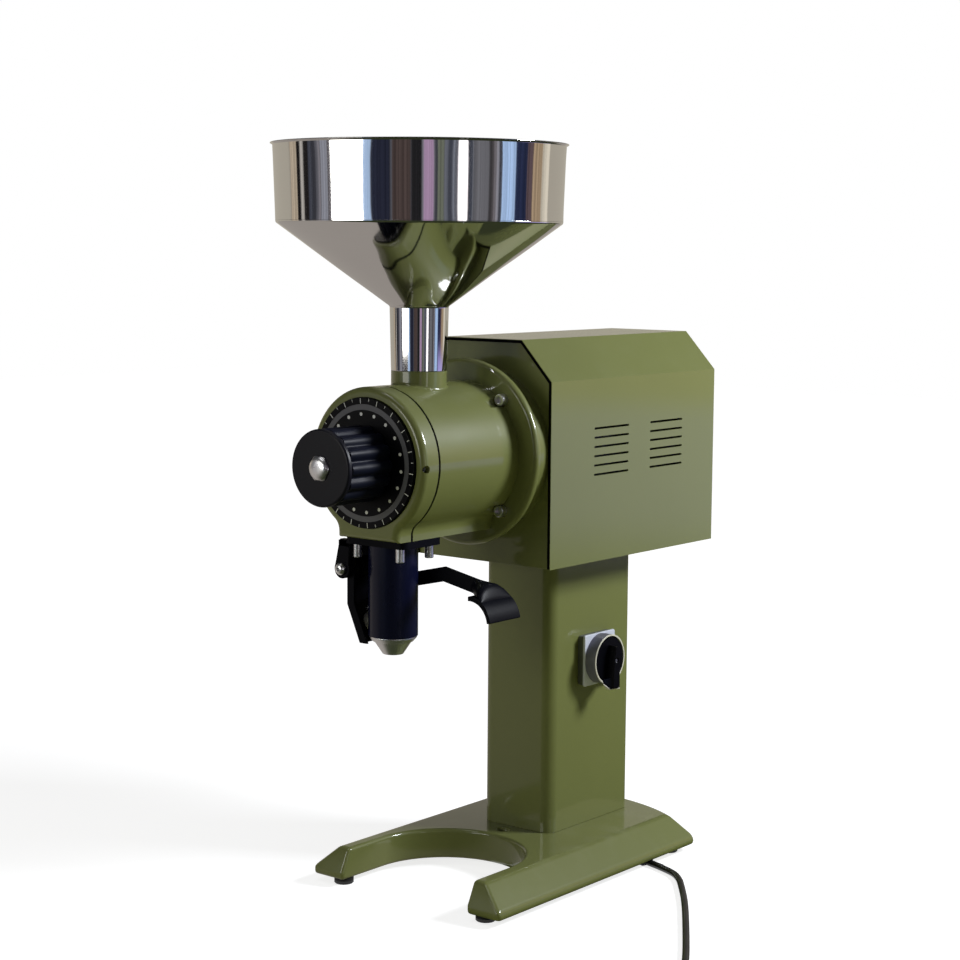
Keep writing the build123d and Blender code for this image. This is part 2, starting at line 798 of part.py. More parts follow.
with BuildPart() as hub_nut:
    with BuildSketch(front_plane(rotating_rear_y)):
        with Locations((0, axis_z)):
            RegularPolygon(hub_core_radius, hex_sides)
            Circle(shaft_radius, mode=Mode.SUBTRACT)
    extrude(amount=hub_nut_thick)
finish(hub_nut.part, "hub_nut")

# Feed screw: a helical flight swept round its core
with BuildPart() as feed_screw:
    with BuildLine() as flight_path:
        Helix(pitch=screw_pitch, height=screw_rear_y - screw_front_y - 2 * screw_flight,
              radius=(screw_core_radius + screw_outer_radius) / 2,
              center=(0, screw_front_y + screw_flight, axis_z), direction=(0, 1, 0))
    flight_start = flight_path.line @ 0
    outward = Vector(flight_start.X, 0, flight_start.Z - axis_z).normalized()
    with BuildSketch(Plane(origin=flight_start, x_dir=outward, z_dir=flight_path.line % 0)):
        Rectangle(screw_outer_radius - screw_core_radius + screw_root, screw_flight)
    sweep(path=flight_path.line, is_frenet=True)
    with BuildSketch(front_plane(screw_rear_y)):
        with Locations((0, axis_z)):
            Circle(screw_core_radius)
    extrude(amount=screw_rear_y - screw_front_y)
    with BuildSketch(front_plane(screw_rear_y)):
        with Locations((0, axis_z)):
            Circle(shaft_radius)
    extrude(amount=screw_rear_y - screw_front_y, mode=Mode.SUBTRACT)
finish(feed_screw.part, "feed_screw")

with BuildPart() as head_bearing:
    with BuildSketch(front_plane(head_bearing_y + bearing_width)):
        with Locations((0, axis_z)):
            Circle(bearing_radius)
            Circle(shaft_radius + running, mode=Mode.SUBTRACT)
    extrude(amount=bearing_width)
finish(head_bearing.part, "head_bearing")

with BuildPart() as motor_stator:
    with BuildSketch(front_plane(stator_rear_y)):
        with Locations((0, axis_z)):
            Circle(stator_radius)
            Circle(stator_bore_radius, mode=Mode.SUBTRACT)
    extrude(amount=stator_rear_y - stator_front_y)
    with BuildSketch(Plane.XY.offset(housing_bottom_z + chassis_thick)):
        with Locations((0, (stator_front_y + stator_rear_y) / 2)):
            Rectangle(stator_radius, stator_rear_y - stator_front_y)
    extrude(amount=axis_z - stator_radius * stator_foot_share - housing_bottom_z - chassis_thick)
finish(motor_stator.part, "motor_stator")

with BuildPart() as motor_front_shield:
    with BuildSketch(front_plane(stator_front_y)):
        with Locations((0, axis_z)):
            Circle(stator_radius)
            Circle(shaft_radius + running, mode=Mode.SUBTRACT)
    extrude(amount=stator_front_y - plate_rear_y)
finish(motor_front_shield.part, "motor_front_shield")

with BuildPart() as motor_rear_shield:
    with BuildSketch(front_plane(stator_rear_y + shield_thick)):
        with Locations((0, axis_z)):
            Circle(stator_radius)
            Circle(shaft_radius + running, mode=Mode.SUBTRACT)
    extrude(amount=shield_thick)
finish(motor_rear_shield.part, "motor_rear_shield")

with BuildPart() as motor_rotor:
    with BuildSketch(front_plane(stator_rear_y - shield_thick / 2)):
        with Locations((0, axis_z)):
            Circle(stator_bore_radius - air_gap)
            Circle(shaft_radius, mode=Mode.SUBTRACT)
    extrude(amount=stator_rear_y - stator_front_y - shield_thick)
finish(motor_rotor.part, "motor_rotor")

with BuildPart() as motor_fan:
    with BuildSketch(front_plane(fan_y + fan_width)):
        with Locations((0, axis_z)):
            Circle(2 * shaft_radius)
            Circle(shaft_radius, mode=Mode.SUBTRACT)
            with PolarLocations(fan_radius / 2 + shaft_radius / 2, fan_blades):
                Rectangle(fan_radius - shaft_radius - fan_tip_gap, fan_sheet)
    extrude(amount=fan_width)
    with BuildSketch(front_plane(fan_y + fan_sheet)):
        with Locations((0, axis_z)):
            Circle(fan_radius)
            Circle(shaft_radius, mode=Mode.SUBTRACT)
    extrude(amount=fan_sheet)
finish(motor_fan.part, "motor_fan")

with BuildPart() as run_capacitor:
    capacitor_z = housing_bottom_z + chassis_thick + capacitor_radius
    with BuildSketch(front_plane(stator_front_y + capacitor_length)):
        with Locations((capacitor_x, capacitor_z)):
            Circle(capacitor_radius)
        with Locations((capacitor_x, capacitor_z - capacitor_radius / 2)):
            Rectangle(capacitor_radius, capacitor_radius)
    extrude(amount=capacitor_length)
finish(run_capacitor.part, "run_capacitor")

# Hopper: a spun bowl wall with a turned lip, and a cone with the neck
hopper_wall_top_radius = hopper_lip_radius - hopper_lip_width
hopper_wall_low_radius = hopper_wall_top_radius - hopper_wall_taper
hopper_bevel_radius = hopper_wall_low_radius - hopper_bevel_width
cone_low_z = stub_top_z + neck_length
hopper_bevel_z = cone_low_z + cone_height
hopper_wall_low_z = hopper_bevel_z + hopper_bevel_height
hopper_top_z = hopper_wall_low_z + hopper_wall_height
with BuildPart() as hopper_bowl:
    with BuildSketch(Plane.XZ.offset(-neck_y)):
        with BuildLine():
            Polyline((hopper_wall_low_radius, hopper_wall_low_z),
                     (hopper_wall_top_radius, hopper_top_z - hopper_lip_height),
                     (hopper_lip_radius, hopper_top_z - hopper_lip_height / 2),
                     (hopper_lip_radius, hopper_top_z),
                     (hopper_lip_radius - hopper_sheet, hopper_top_z),
                     (hopper_lip_radius - hopper_sheet, hopper_top_z - hopper_lip_height / 3),
                     (hopper_wall_top_radius - hopper_sheet, hopper_top_z - hopper_lip_height + hopper_sheet / 2),
                     (hopper_wall_low_radius - hopper_sheet, hopper_wall_low_z), close=True)
        make_face()
    revolve(axis=Axis((0, neck_y, 0), (0, 0, 1)))
finish(hopper_bowl.part, "hopper_bowl")

spigot_radius = stub_bore_radius - spigot_gap
with BuildPart() as hopper_cone:
    with BuildSketch(Plane.XZ.offset(-neck_y)):
        with BuildLine():
            Polyline((hopper_wall_low_radius, hopper_wall_low_z),
                     (hopper_bevel_radius, hopper_bevel_z),
                     (cone_low_radius, cone_low_z),
                     (neck_low_radius, stub_top_z),
                     (spigot_radius, stub_top_z),
                     (spigot_radius, stub_top_z - spigot_length),
                     (spigot_radius - hopper_sheet, stub_top_z - spigot_length),
                     (spigot_radius - hopper_sheet, stub_top_z + hopper_sheet),
                     (neck_low_radius - hopper_sheet, stub_top_z + 2 * hopper_sheet),
                     (cone_low_radius - hopper_sheet, cone_low_z + hopper_sheet / 2),
                     (hopper_bevel_radius - hopper_sheet, hopper_bevel_z + hopper_sheet / 2),
                     (hopper_wall_low_radius - hopper_sheet, hopper_wall_low_z), close=True)
        make_face()
    revolve(axis=Axis((0, neck_y, 0), (0, 0, 1)))
finish(hopper_cone.part, "hopper_cone")

# Spout: plate with two ears, tube, ring and nozzle
plate_low_z = foot_bottom_z - spout_plate_thick
with BuildPart() as spout_plate:
    with BuildSketch(Plane.XY.offset(plate_low_z)):
        with Locations((0, tube_y)):
            RectangleRounded(2 * spout_plate_half_width, 2 * spout_plate_half_depth,
                             spout_plate_corner)
            RectangleRounded(outlet_width, outlet_depth, outlet_corner, mode=Mode.SUBTRACT)
            with GridLocations(spout_bolt_x, spout_bolt_y, 2, 2):
                Circle(spout_bolt_radius, mode=Mode.SUBTRACT)
    extrude(amount=spout_plate_thick)
    for ear_y in (ear_front_y + ear_thick, ear_rear_y + ear_thick):
        with BuildSketch(front_plane(ear_y)) as ear:
            with BuildLine():
                Polyline((ear_root_x, plate_low_z), (pivot_x - ear_neck, plate_low_z),
                         (pivot_x - ear_radius, pivot_z),
                         (pivot_x + ear_radius - ear_tuck, pivot_z - ear_neck), close=True)
            make_face()
            with Locations((pivot_x, pivot_z)):
                Circle(ear_radius)
                Circle(pivot_pin_radius, mode=Mode.SUBTRACT)
        extrude(amount=ear_thick)
    with BuildSketch(Plane.XY.offset(plate_low_z)):
        with Locations((ear_root_middle_x, ear_front_y + ear_thick / 2),
                       (ear_root_middle_x, ear_rear_y + ear_thick / 2)):
            Rectangle(ear_root_length, ear_thick)
    extrude(amount=spout_plate_thick / 2)
finish(spout_plate.part, "spout_plate")

with BuildPart() as spout_tube:
    with BuildSketch(Plane.XY.offset(tube_low_z)):
        with Locations((0, tube_y)):
            Circle(tube_radius)
            Circle(tube_bore_radius, mode=Mode.SUBTRACT)
    extrude(amount=plate_low_z - tube_low_z)
finish(spout_tube.part, "spout_tube")

with BuildPart() as spout_ring:
    with BuildSketch(Plane.XZ.offset(-tube_y)):
        with BuildLine():
            Polyline((nozzle_top_radius, tube_low_z), (ring_radius, tube_low_z),
                     (ring_radius, tube_low_z - ring_band),
                     (ring_low_radius, tube_low_z - ring_height),
                     (nozzle_top_radius, tube_low_z - ring_height), close=True)
        make_face()
    revolve(axis=Axis((0, tube_y, 0), (0, 0, 1)))
finish(spout_ring.part, "spout_ring")

with BuildPart() as spout_nozzle:
    with BuildSketch(Plane.XZ.offset(-tube_y)):
        with BuildLine():
            Polyline((nozzle_top_radius, tube_low_z), (nozzle_top_radius, tube_low_z - ring_height),
                     (nozzle_low_radius, nozzle_low_z),
                     (nozzle_low_radius - nozzle_sheet, nozzle_low_z),
                     (nozzle_top_radius - nozzle_sheet, tube_low_z - ring_height + nozzle_sheet),
                     (nozzle_top_radius - nozzle_sheet, tube_low_z), close=True)
        make_face()
    revolve(axis=Axis((0, tube_y, 0), (0, 0, 1)))
finish(spout_nozzle.part, "spout_nozzle")

with BuildPart() as spout_screws:
    with BuildSketch(Plane.XY.offset(plate_low_z - spout_bolt_head)):
        with Locations((0, tube_y)):
            with GridLocations(spout_bolt_x, spout_bolt_y, 2, 2):
                Circle(spout_bolt_head_radius)
    extrude(amount=spout_bolt_head)
    with BuildSketch(Plane.XY.offset(plate_low_z - spout_bolt_head)):
        with Locations((0, tube_y)):
            with GridLocations(spout_bolt_x, spout_bolt_y, 2, 2):
                RegularPolygon(spout_socket_radius, hex_sides, major_radius=False)
    extrude(amount=spout_socket_depth, mode=Mode.SUBTRACT)
    with BuildSketch(Plane.XY.offset(plate_low_z)):
        with Locations((0, tube_y)):
            with GridLocations(spout_bolt_x, spout_bolt_y, 2, 2):
                Circle(spout_bolt_radius - running)
    extrude(amount=spout_plate_thick + spout_bolt_grip)
finish(spout_screws.part, "spout_screws")

# Bag clamp: pivot bolt, sprung arm with its pad, lever with its paddle
pivot_rear_y = ear_rear_y + ear_thick + pivot_nut
with BuildPart() as clamp_pivot_bolt:
    with BuildSketch(front_plane(pivot_rear_y)):
        with Locations((pivot_x, pivot_z)):
            Circle(pivot_pin_radius)
    extrude(amount=pivot_rear_y - ear_front_y)
    with BuildSketch(front_plane(ear_front_y)):
        with Locations((pivot_x, pivot_z)):
            Circle(pivot_head_radius)
    extrude(amount=pivot_head)
    fillet(clamp_pivot_bolt.edges().group_by(Axis.Y)[0], pivot_head_round)
    with BuildSketch(front_plane(pivot_rear_y)):
        with Locations((pivot_x, pivot_z)):
            RegularPolygon(pivot_nut_radius, hex_sides)
            Circle(pivot_pin_radius, mode=Mode.SUBTRACT)
    extrude(amount=pivot_nut)
finish(clamp_pivot_bolt.part, "clamp_pivot_bolt")

knuckle_front_y = ear_front_y + ear_thick + slip
knuckle_rear_y = ear_rear_y - slip
spring_length = spring_pitch * spring_turns
spring_front_y = tube_y - spring_length / 2
arm_lean = math.atan2(arm_low_x - arm_x, arm_bend_z - arm_low_z)


def arm_face(depth, top_z):
    """Points of the cranked arm's side line, moved towards the spout by depth."""
    return [(arm_x + depth, top_z),
            (arm_x + depth, arm_bend_z + depth * math.tan(arm_lean / 2)),
            (arm_low_x + depth / math.cos(arm_lean), arm_low_z)]


def arm_band(near, far, top_z):
    """Closed side outline of the arm between two depths."""
    return arm_face(near, top_z) + arm_face(far, top_z)[::-1]


arm_width = knuckle_rear_y - knuckle_front_y
with BuildPart() as clamp_arm:
    with BuildSketch(front_plane(knuckle_rear_y)):
        with BuildLine():
            Polyline(*arm_band(0, arm_sheet, arm_neck_z), close=True)
        make_face()
    extrude(amount=arm_width)
    with BuildSketch(front_plane(tube_y + arm_top_half_width)):
        with Locations((arm_x + arm_sheet / 2, (arm_top_z + pivot_z) / 2)):
            Rectangle(arm_sheet, arm_top_z - pivot_z)
    extrude(amount=2 * arm_top_half_width)
    with BuildSketch(side_plane(arm_x)):
        with Locations((spring_front_y + spring_length / 2, pivot_z)):
            Rectangle(spring_length + 2 * spring_window_gap,
                      2 * (spring_radius + spring_wire) + spring_window_gap)
        with Locations((arm_hole_y, arm_hole_z)):
            Circle(arm_hole_radius)
    extrude(amount=arm_flange, mode=Mode.SUBTRACT)
    with BuildSketch(side_plane(arm_x + arm_sheet - arm_pocket_depth)):
        with Locations((tube_y, arm_pocket_z)):
            RectangleRounded(arm_pocket_width, arm_pocket_length, arm_pocket_corner)
    extrude(amount=arm_sheet, mode=Mode.SUBTRACT)
    for flange_y in (knuckle_rear_y, knuckle_front_y + arm_sheet):
        with BuildSketch(front_plane(flange_y)):
            with BuildLine():
                Polyline(*arm_band(0, arm_flange, arm_neck_z), close=True)
            make_face()
        extrude(amount=arm_sheet)
    with BuildSketch(front_plane(knuckle_rear_y)):
        with Locations((pivot_x, pivot_z)):
            Circle(knuckle_radius)
    extrude(amount=arm_width)
    with BuildSketch(front_plane(knuckle_rear_y)):
        with Locations((pivot_x, pivot_z)):
            Circle(pivot_pin_radius + running)
    extrude(amount=arm_width, mode=Mode.SUBTRACT)
finish(clamp_arm.part, "clamp_arm")

# The pad is a rubber wedge between the leaning arm and the upright tube
pad_face_x = -tube_radius - slip
with BuildPart() as clamp_pad:
    with BuildSketch(side_plane(pad_face_x - pad_reach)):
        with Locations((tube_y, pad_z)):
            Circle(pad_radius)
    extrude(amount=pad_reach)
    with BuildSketch(front_plane(tube_y + pad_radius + overcut)):
        with BuildLine():
            Polyline(*arm_band(-pad_reach, arm_sheet, arm_neck_z), close=True)
        make_face()
    extrude(amount=2 * (pad_radius + overcut), mode=Mode.SUBTRACT)
finish(clamp_pad.part, "clamp_pad")

lever_middle_y = lever_front_y + lever_thick / 2
with BuildPart() as clamp_lever:
    with BuildSketch(front_plane(lever_front_y + lever_thick)):
        with BuildLine() as lever_line:
            Polyline(lever_start, lever_knee, lever_end)
        trace(lever_line.line, line_width=lever_height)
        with Locations(lever_start):
            Circle(lever_height / 2)
    extrude(amount=lever_thick)
    with BuildSketch(front_plane(lever_front_y)):
        with Locations(lever_start):
            Circle(lever_rivet_radius)
    extrude(amount=lever_front_y - knuckle_rear_y)
    with BuildSketch(front_plane(lever_middle_y + paddle_half_width)):
        with BuildLine():
            paddle_top = Spline(*paddle_top_points)
            paddle_under = Spline(*paddle_under_points)
            Line(paddle_top @ 1, paddle_under @ 0)
            Line(paddle_under @ 1, paddle_top @ 0)
        make_face()
    extrude(amount=2 * paddle_half_width)
finish(clamp_lever.part, "clamp_lever")

with BuildPart() as clamp_spring:
    with BuildLine() as spring_path:
        Helix(pitch=spring_pitch, height=spring_length, radius=spring_radius,
              center=(pivot_x, spring_front_y, pivot_z), direction=(0, 1, 0))
    with BuildSketch(Plane(origin=spring_path.line @ 0, z_dir=spring_path.line % 0)):
        Circle(spring_wire)
    sweep(path=spring_path.line, is_frenet=True)
finish(clamp_spring.part, "clamp_spring")

# Rotary switch
switch_face_x = column_width / 2
with BuildPart() as switch_box:
    with BuildSketch(side_plane(switch_face_x)):
        with Locations((switch_y, switch_z)):
            RectangleRounded(switch_size - 2 * switch_box_inset, switch_size - 2 * switch_box_inset,
                             switch_box_corner)
    extrude(amount=switch_box_thick)
    with BuildSketch(side_plane(switch_face_x - switch_body_depth)):
        with Locations((switch_y, switch_z)):
            Rectangle(switch_body_width, switch_body_width)
    extrude(amount=switch_body_depth)
finish(switch_box.part, "switch_box")

plate_x = switch_face_x + switch_box_thick
with BuildPart() as switch_plate:
    with BuildSketch(side_plane(plate_x)):
        with Locations((switch_y, switch_z)):
            RectangleRounded(switch_size, switch_size, switch_plate_corner)
            Circle(switch_stem_radius + slip, mode=Mode.SUBTRACT)
    extrude(amount=switch_plate_thick)
    chamfer(switch_plate.edges().group_by(Axis.X)[-1], length=switch_plate_chamfer)
finish(switch_plate.part, "switch_plate")

collar_x = plate_x + switch_plate_thick
with BuildPart() as switch_collar:
    with BuildSketch(side_plane(collar_x)):
        with Locations((switch_y, switch_z)):
            Circle(switch_collar_radius)
            Circle(switch_collar_radius - switch_collar_wall, mode=Mode.SUBTRACT)
    extrude(amount=switch_collar_depth)
finish(switch_collar.part, "switch_collar")

knob_disc_x = collar_x + switch_collar_depth - switch_knob_thick + switch_knob_proud
grip_x = knob_disc_x + switch_knob_thick
switch_screw_x = grip_x + switch_grip_height - switch_screw_depth
with BuildPart() as switch_knob:
    with BuildSketch(side_plane(plate_x + slip)):
        with Locations((switch_y, switch_z)):
            Circle(switch_stem_radius)
    extrude(amount=knob_disc_x - plate_x - slip)
    with BuildSketch(side_plane(knob_disc_x)):
        with Locations((switch_y, switch_z)):
            Circle(switch_knob_radius)
    extrude(amount=switch_knob_thick)
    with BuildSketch(side_plane(grip_x)):
        with BuildLine():
            Polyline(*[(switch_y + y, switch_z + z) for y, z in switch_grip_outline], close=True)
        make_face()
    extrude(amount=switch_grip_height, taper=switch_grip_taper)
    with BuildSketch(side_plane(grip_x + switch_grip_base)):
        with Locations((switch_y, switch_z + switch_grip_heel_z)):
            Rectangle(*switch_grip_heel)
    extrude(amount=switch_grip_height - switch_grip_base, taper=switch_grip_taper)
    with BuildSketch(side_plane(switch_screw_x)):
        with Locations((switch_y, switch_z)):
            Circle(switch_screw_radius)
    extrude(amount=switch_screw_depth + overcut, mode=Mode.SUBTRACT)
finish(switch_knob.part, "switch_knob")

with BuildPart() as switch_screw:
    with BuildSketch(side_plane(switch_screw_x)):
        with Locations((switch_y, switch_z)):
            Circle(switch_screw_radius - running)
    extrude(amount=switch_screw_thick)
finish(switch_screw.part, "switch_screw")

# Cord gland under the base, cord, coil and plug
route = [Vector(x, y, cord_radius) for x, y in cord_route]
with BuildPart() as cord_gland:
    with BuildSketch(Plane(origin=route[0], x_dir=(0, 0, 1), z_dir=route[0] - route[1])):
        RectangleRounded(2 * cord_radius, gland_width, gland_corner)
        with Locations(((foot_height - 2 * cord_radius) / 2 + cord_radius / 2, 0)):
            Rectangle(foot_height - cord_radius, gland_width)
    extrude(amount=gland_length)
finish(cord_gland.part, "cord_gland")

# Corner radii of the cord: a share of the shorter run over the tangent of half the turn
radii = []
for before, corner, after in zip(route, route[1:], route[2:]):
    turn = (corner - before).get_angle(after - corner)
    shorter = min((corner - before).length, (after - corner).length)
    radii.append(bend_share * shorter / math.tan(math.radians(turn) / 2))
print("cord radii", [round(r) for r in radii])
with BuildPart() as power_cord:
    with BuildLine() as cord_path:
        FilletPolyline(*route, radius=radii)
    with BuildSketch(Plane(origin=route[0], z_dir=route[1] - route[0])):
        Circle(cord_radius)
    sweep(path=cord_path.line)
tube_length = cord_path.wires()[0].length
print("cord tube", round(tube_length), "mm, volume ratio",
      round(power_cord.part.volume / (math.pi * cord_radius ** 2 * tube_length), 4))
finish(power_cord.part, "power_cord")

# Coil: the turns' outer shape, two turns wide, with a notch for each end of the cord
arrival = (route[-1] - route[-2]).normalized()
aside = Vector(arrival.Y, -arrival.X, 0)
coil_centre = route[-1] + aside * (-coil_middle_radius)
coil_height = coil_layers * 2 * cord_radius
coil_in = coil_middle_radius - 2 * cord_radius
coil_out = coil_middle_radius + 2 * cord_radius
notch = 2 * cord_radius + coil_notch_gap
arrival_angle = math.degrees(math.atan2(arrival.Y, arrival.X))
with BuildPart() as cord_coil:
    with BuildSketch():
        with Locations((coil_centre.X, coil_centre.Y)):
            Circle(coil_out)
            Circle(coil_in, mode=Mode.SUBTRACT)
    extrude(amount=coil_height)
    notch_middle = route[-1] - arrival * coil_out + aside * (coil_out / 2)
    with BuildSketch():
        with Locations(Location((notch_middle.X, notch_middle.Y), arrival_angle)):
            Rectangle(2 * coil_out, coil_out + notch)
    extrude(amount=notch, mode=Mode.SUBTRACT)
finish(cord_coil.part, "cord_coil")

# Plug: relief, body and two pins, lying where the outer turn runs straight out of the coil
outer_turn = coil_middle_radius + cord_radius
coil_reach = math.sqrt(coil_out ** 2 - coil_middle_radius ** 2) + slip
plug_rise = Vector(0, 0, plug_radius - cord_radius)
plug_start = coil_centre + aside * outer_turn + arrival * coil_reach + plug_rise
plug_plane = Plane(origin=plug_start, z_dir=arrival)
with BuildPart() as power_plug:
    with BuildSketch(plug_plane):
        Circle(cord_radius)
    with BuildSketch(plug_plane.offset(plug_relief)):
        Circle(cord_radius * 2)
    loft()
    with BuildSketch(plug_plane.offset(plug_relief)):
        Circle(plug_radius)
    extrude(amount=plug_body)
    fillet(power_plug.edges().filter_by(GeomType.CIRCLE).sort_by(SortBy.RADIUS)[-2:], plug_round)
    with BuildSketch(plug_plane.offset(plug_relief + plug_body)):
        with GridLocations(pin_spacing, 0, 2, 1):
            Circle(pin_radius)
    extrude(amount=pin_length)
finish(power_plug.part, "power_plug")

print("coil centre", coil_centre, "plug start", plug_start)
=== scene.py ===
"""Coffee grinder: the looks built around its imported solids, in metres, in the same frame."""
import json
import math

import bmesh
import bpy
import numpy as np
from mathutils import Matrix, Vector

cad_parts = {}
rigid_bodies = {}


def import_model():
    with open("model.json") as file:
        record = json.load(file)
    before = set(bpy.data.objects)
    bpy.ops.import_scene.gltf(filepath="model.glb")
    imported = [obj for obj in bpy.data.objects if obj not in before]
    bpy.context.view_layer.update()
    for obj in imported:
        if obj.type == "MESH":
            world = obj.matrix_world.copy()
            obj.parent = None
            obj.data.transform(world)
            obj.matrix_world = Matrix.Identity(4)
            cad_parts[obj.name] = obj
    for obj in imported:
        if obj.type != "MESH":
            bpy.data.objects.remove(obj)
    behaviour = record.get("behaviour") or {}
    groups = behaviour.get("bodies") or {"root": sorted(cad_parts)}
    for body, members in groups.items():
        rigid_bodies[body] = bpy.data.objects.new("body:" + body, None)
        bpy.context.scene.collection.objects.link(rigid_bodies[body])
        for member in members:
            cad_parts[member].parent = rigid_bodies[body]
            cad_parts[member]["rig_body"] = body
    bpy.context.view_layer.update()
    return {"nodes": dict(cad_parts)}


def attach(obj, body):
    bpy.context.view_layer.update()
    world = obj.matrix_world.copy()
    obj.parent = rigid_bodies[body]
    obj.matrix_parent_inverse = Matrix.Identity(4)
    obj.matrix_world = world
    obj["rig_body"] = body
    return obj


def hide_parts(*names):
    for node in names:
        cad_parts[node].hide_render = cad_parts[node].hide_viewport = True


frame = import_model()
nodes = frame["nodes"]

# Shapes are worked out in millimetres. These places are the same as in the solids.
MM = 0.001
AXIS_Z = 490.0
HEAD_AXIS = (0, 0, AXIS_Z)
NECK_AXIS = (0, -134.5, 0)
TUBE_Y = -175.5
TUBE_AXIS = (0, TUBE_Y, 0)
PIVOT_AXIS = (-46.0, 0, 372.0)
SWITCH_Y, SWITCH_Z = 121.5, 239.0
SWITCH_AXIS = (0, SWITCH_Y, SWITCH_Z)


def set_out(name, data):
    """A new object in the scene."""
    thing = bpy.data.objects.new(name, data)
    bpy.context.scene.collection.objects.link(thing)
    return thing


# ---------------------------------------------------------------- camera
LENS, FILM_WIDTH = 77.96, 36.0
AZIMUTH, PITCH, ROLL = (math.radians(a) for a in (38.77, 6.61, 0.41))
EYE = (1.44327, -1.82597, 0.72297)


def set_camera():
    """Camera axes from azimuth, downward pitch and roll: right and up turned by the roll, the back against
    the view."""
    right = Vector((math.cos(AZIMUTH), math.sin(AZIMUTH), 0))
    ahead = Vector((-math.sin(AZIMUTH) * math.cos(PITCH), math.cos(AZIMUTH) * math.cos(PITCH),
                    -math.sin(PITCH)))
    up = right.cross(ahead)
    across = right * math.cos(ROLL) + up * math.sin(ROLL)
    above = up * math.cos(ROLL) - right * math.sin(ROLL)
    camera = set_out("camera", bpy.data.cameras.new("camera"))
    camera.data.lens = LENS
    camera.data.sensor_width = FILM_WIDTH
    camera.data.clip_end = 50.0
    camera.matrix_world = Matrix.Translation(EYE) @ Matrix((across, above, -ahead)).transposed().to_4x4()
    bpy.context.scene.camera = camera


set_camera()
bpy.context.scene.view_settings.view_transform = "Standard"


# ---------------------------------------------------------------- node helpers
def feed(tree, socket, given):
    """Links a socket to another, or sets its value."""
    if isinstance(given, bpy.types.NodeSocket):
        tree.links.new(given, socket)
    elif given is not None:
        socket.default_value = given


def put(tree, kind, settings=None, **sockets):
    """A new shader node. Socket names are given with _ for spaces."""
    made = tree.nodes.new("ShaderNode" + kind)
    for key, value in (settings or {}).items():
        setattr(made, key, value)
    for key, value in sockets.items():
        feed(tree, made.inputs[key.replace("_", " ")], value)
    return made


def calc(tree, operation, first, second=None, third=None, clamp=False):
    """One Math node and its output."""
    made = put(tree, "Math", {"operation": operation, "use_clamp": clamp})
    for socket, given in zip(made.inputs, (first, second, third)):
        feed(tree, socket, given)
    return made.outputs[0]


def centred(tree, value):
    """A value of 0 to 1 moved to -0.5 to 0.5."""
    return calc(tree, "SUBTRACT", value, 0.5)


def ramp(tree, given, low, high, to_low=0.0, to_high=1.0):
    """Maps low..high of a value to to_low..to_high, clamped and eased at both ends."""
    made = put(tree, "MapRange", {"interpolation_type": "SMOOTHSTEP"}, Value=given, From_Min=low,
               From_Max=high, To_Min=to_low, To_Max=to_high)
    return made.outputs[0]


def blend_colours(tree, share, first, second, how="MIX"):
    """The first colour where share is 0. Where it is 1, the second, or with MULTIPLY both multiplied."""
    made = put(tree, "Mix", {"data_type": "RGBA", "blend_type": how})
    for socket, given in zip((made.inputs[0], made.inputs[6], made.inputs[7]), (share, first, second)):
        feed(tree, socket, given)
    return made.outputs[2]


def toned(tree, colour, value, saturation=1.0):
    """A colour with its brightness and saturation multiplied."""
    return put(tree, "HueSaturation", None, Color=colour, Value=value, Saturation=saturation).outputs[0]


def noise(tree, where, scale, detail=2.0, roughness=0.5):
    """A noise texture's value, from 0 to 1."""
    made = put(tree, "TexNoise", None, Vector=where, Scale=scale, Detail=detail, Roughness=roughness)
    return made.outputs[0]


def here(tree, stretch=(1.0, 1.0, 1.0)):
    """Object coordinates, multiplied along the axes."""
    spot = put(tree, "TexCoord").outputs["Object"]
    return put(tree, "Mapping", None, Vector=spot, Scale=stretch).outputs[0]


def length_of(tree, spot):
    """Distance of a point from the origin."""
    return put(tree, "VectorMath", {"operation": "LENGTH"}, Vector=spot).outputs["Value"]


def blank_material(name):
    """A material with an empty node tree, and that tree."""
    made = bpy.data.materials.new(name)
    made.use_nodes = True
    made.node_tree.nodes.clear()
    return made, made.node_tree


def give_out(tree, shader, kind="OutputMaterial"):
    """Links a shader to the tree's output node."""
    tree.links.new(shader.outputs[0], put(tree, kind).inputs[0])


def new_group(name, inputs):
    """A shader group with the given inputs, and Colour, Roughness and Height as outputs. Gives its tree, and
    the sockets for what comes in and for what goes out."""
    tree = bpy.data.node_groups.new(name, "ShaderNodeTree")
    for label, kind, value in inputs:
        socket = tree.interface.new_socket(label, in_out="INPUT", socket_type="NodeSocket" + kind)
        socket.default_value = value
    for label, kind in (("Colour", "Color"), ("Roughness", "Float"), ("Height", "Float")):
        tree.interface.new_socket(label, in_out="OUTPUT", socket_type="NodeSocket" + kind)
    return tree, tree.nodes.new("NodeGroupInput").outputs, tree.nodes.new("NodeGroupOutput").inputs


def close_group(tree, result, **values):
    """Links the group's results to its outputs."""
    for label, value in values.items():
        tree.links.new(value, result[label])
    return tree


WHITE = (1.0, 1.0, 1.0, 1.0)
COMMON = [("Colour", "Color", WHITE), ("Roughness", "Float", 0.4), ("Tone", "Float", 0.1),
          ("Grain", "Float", 1.0)]


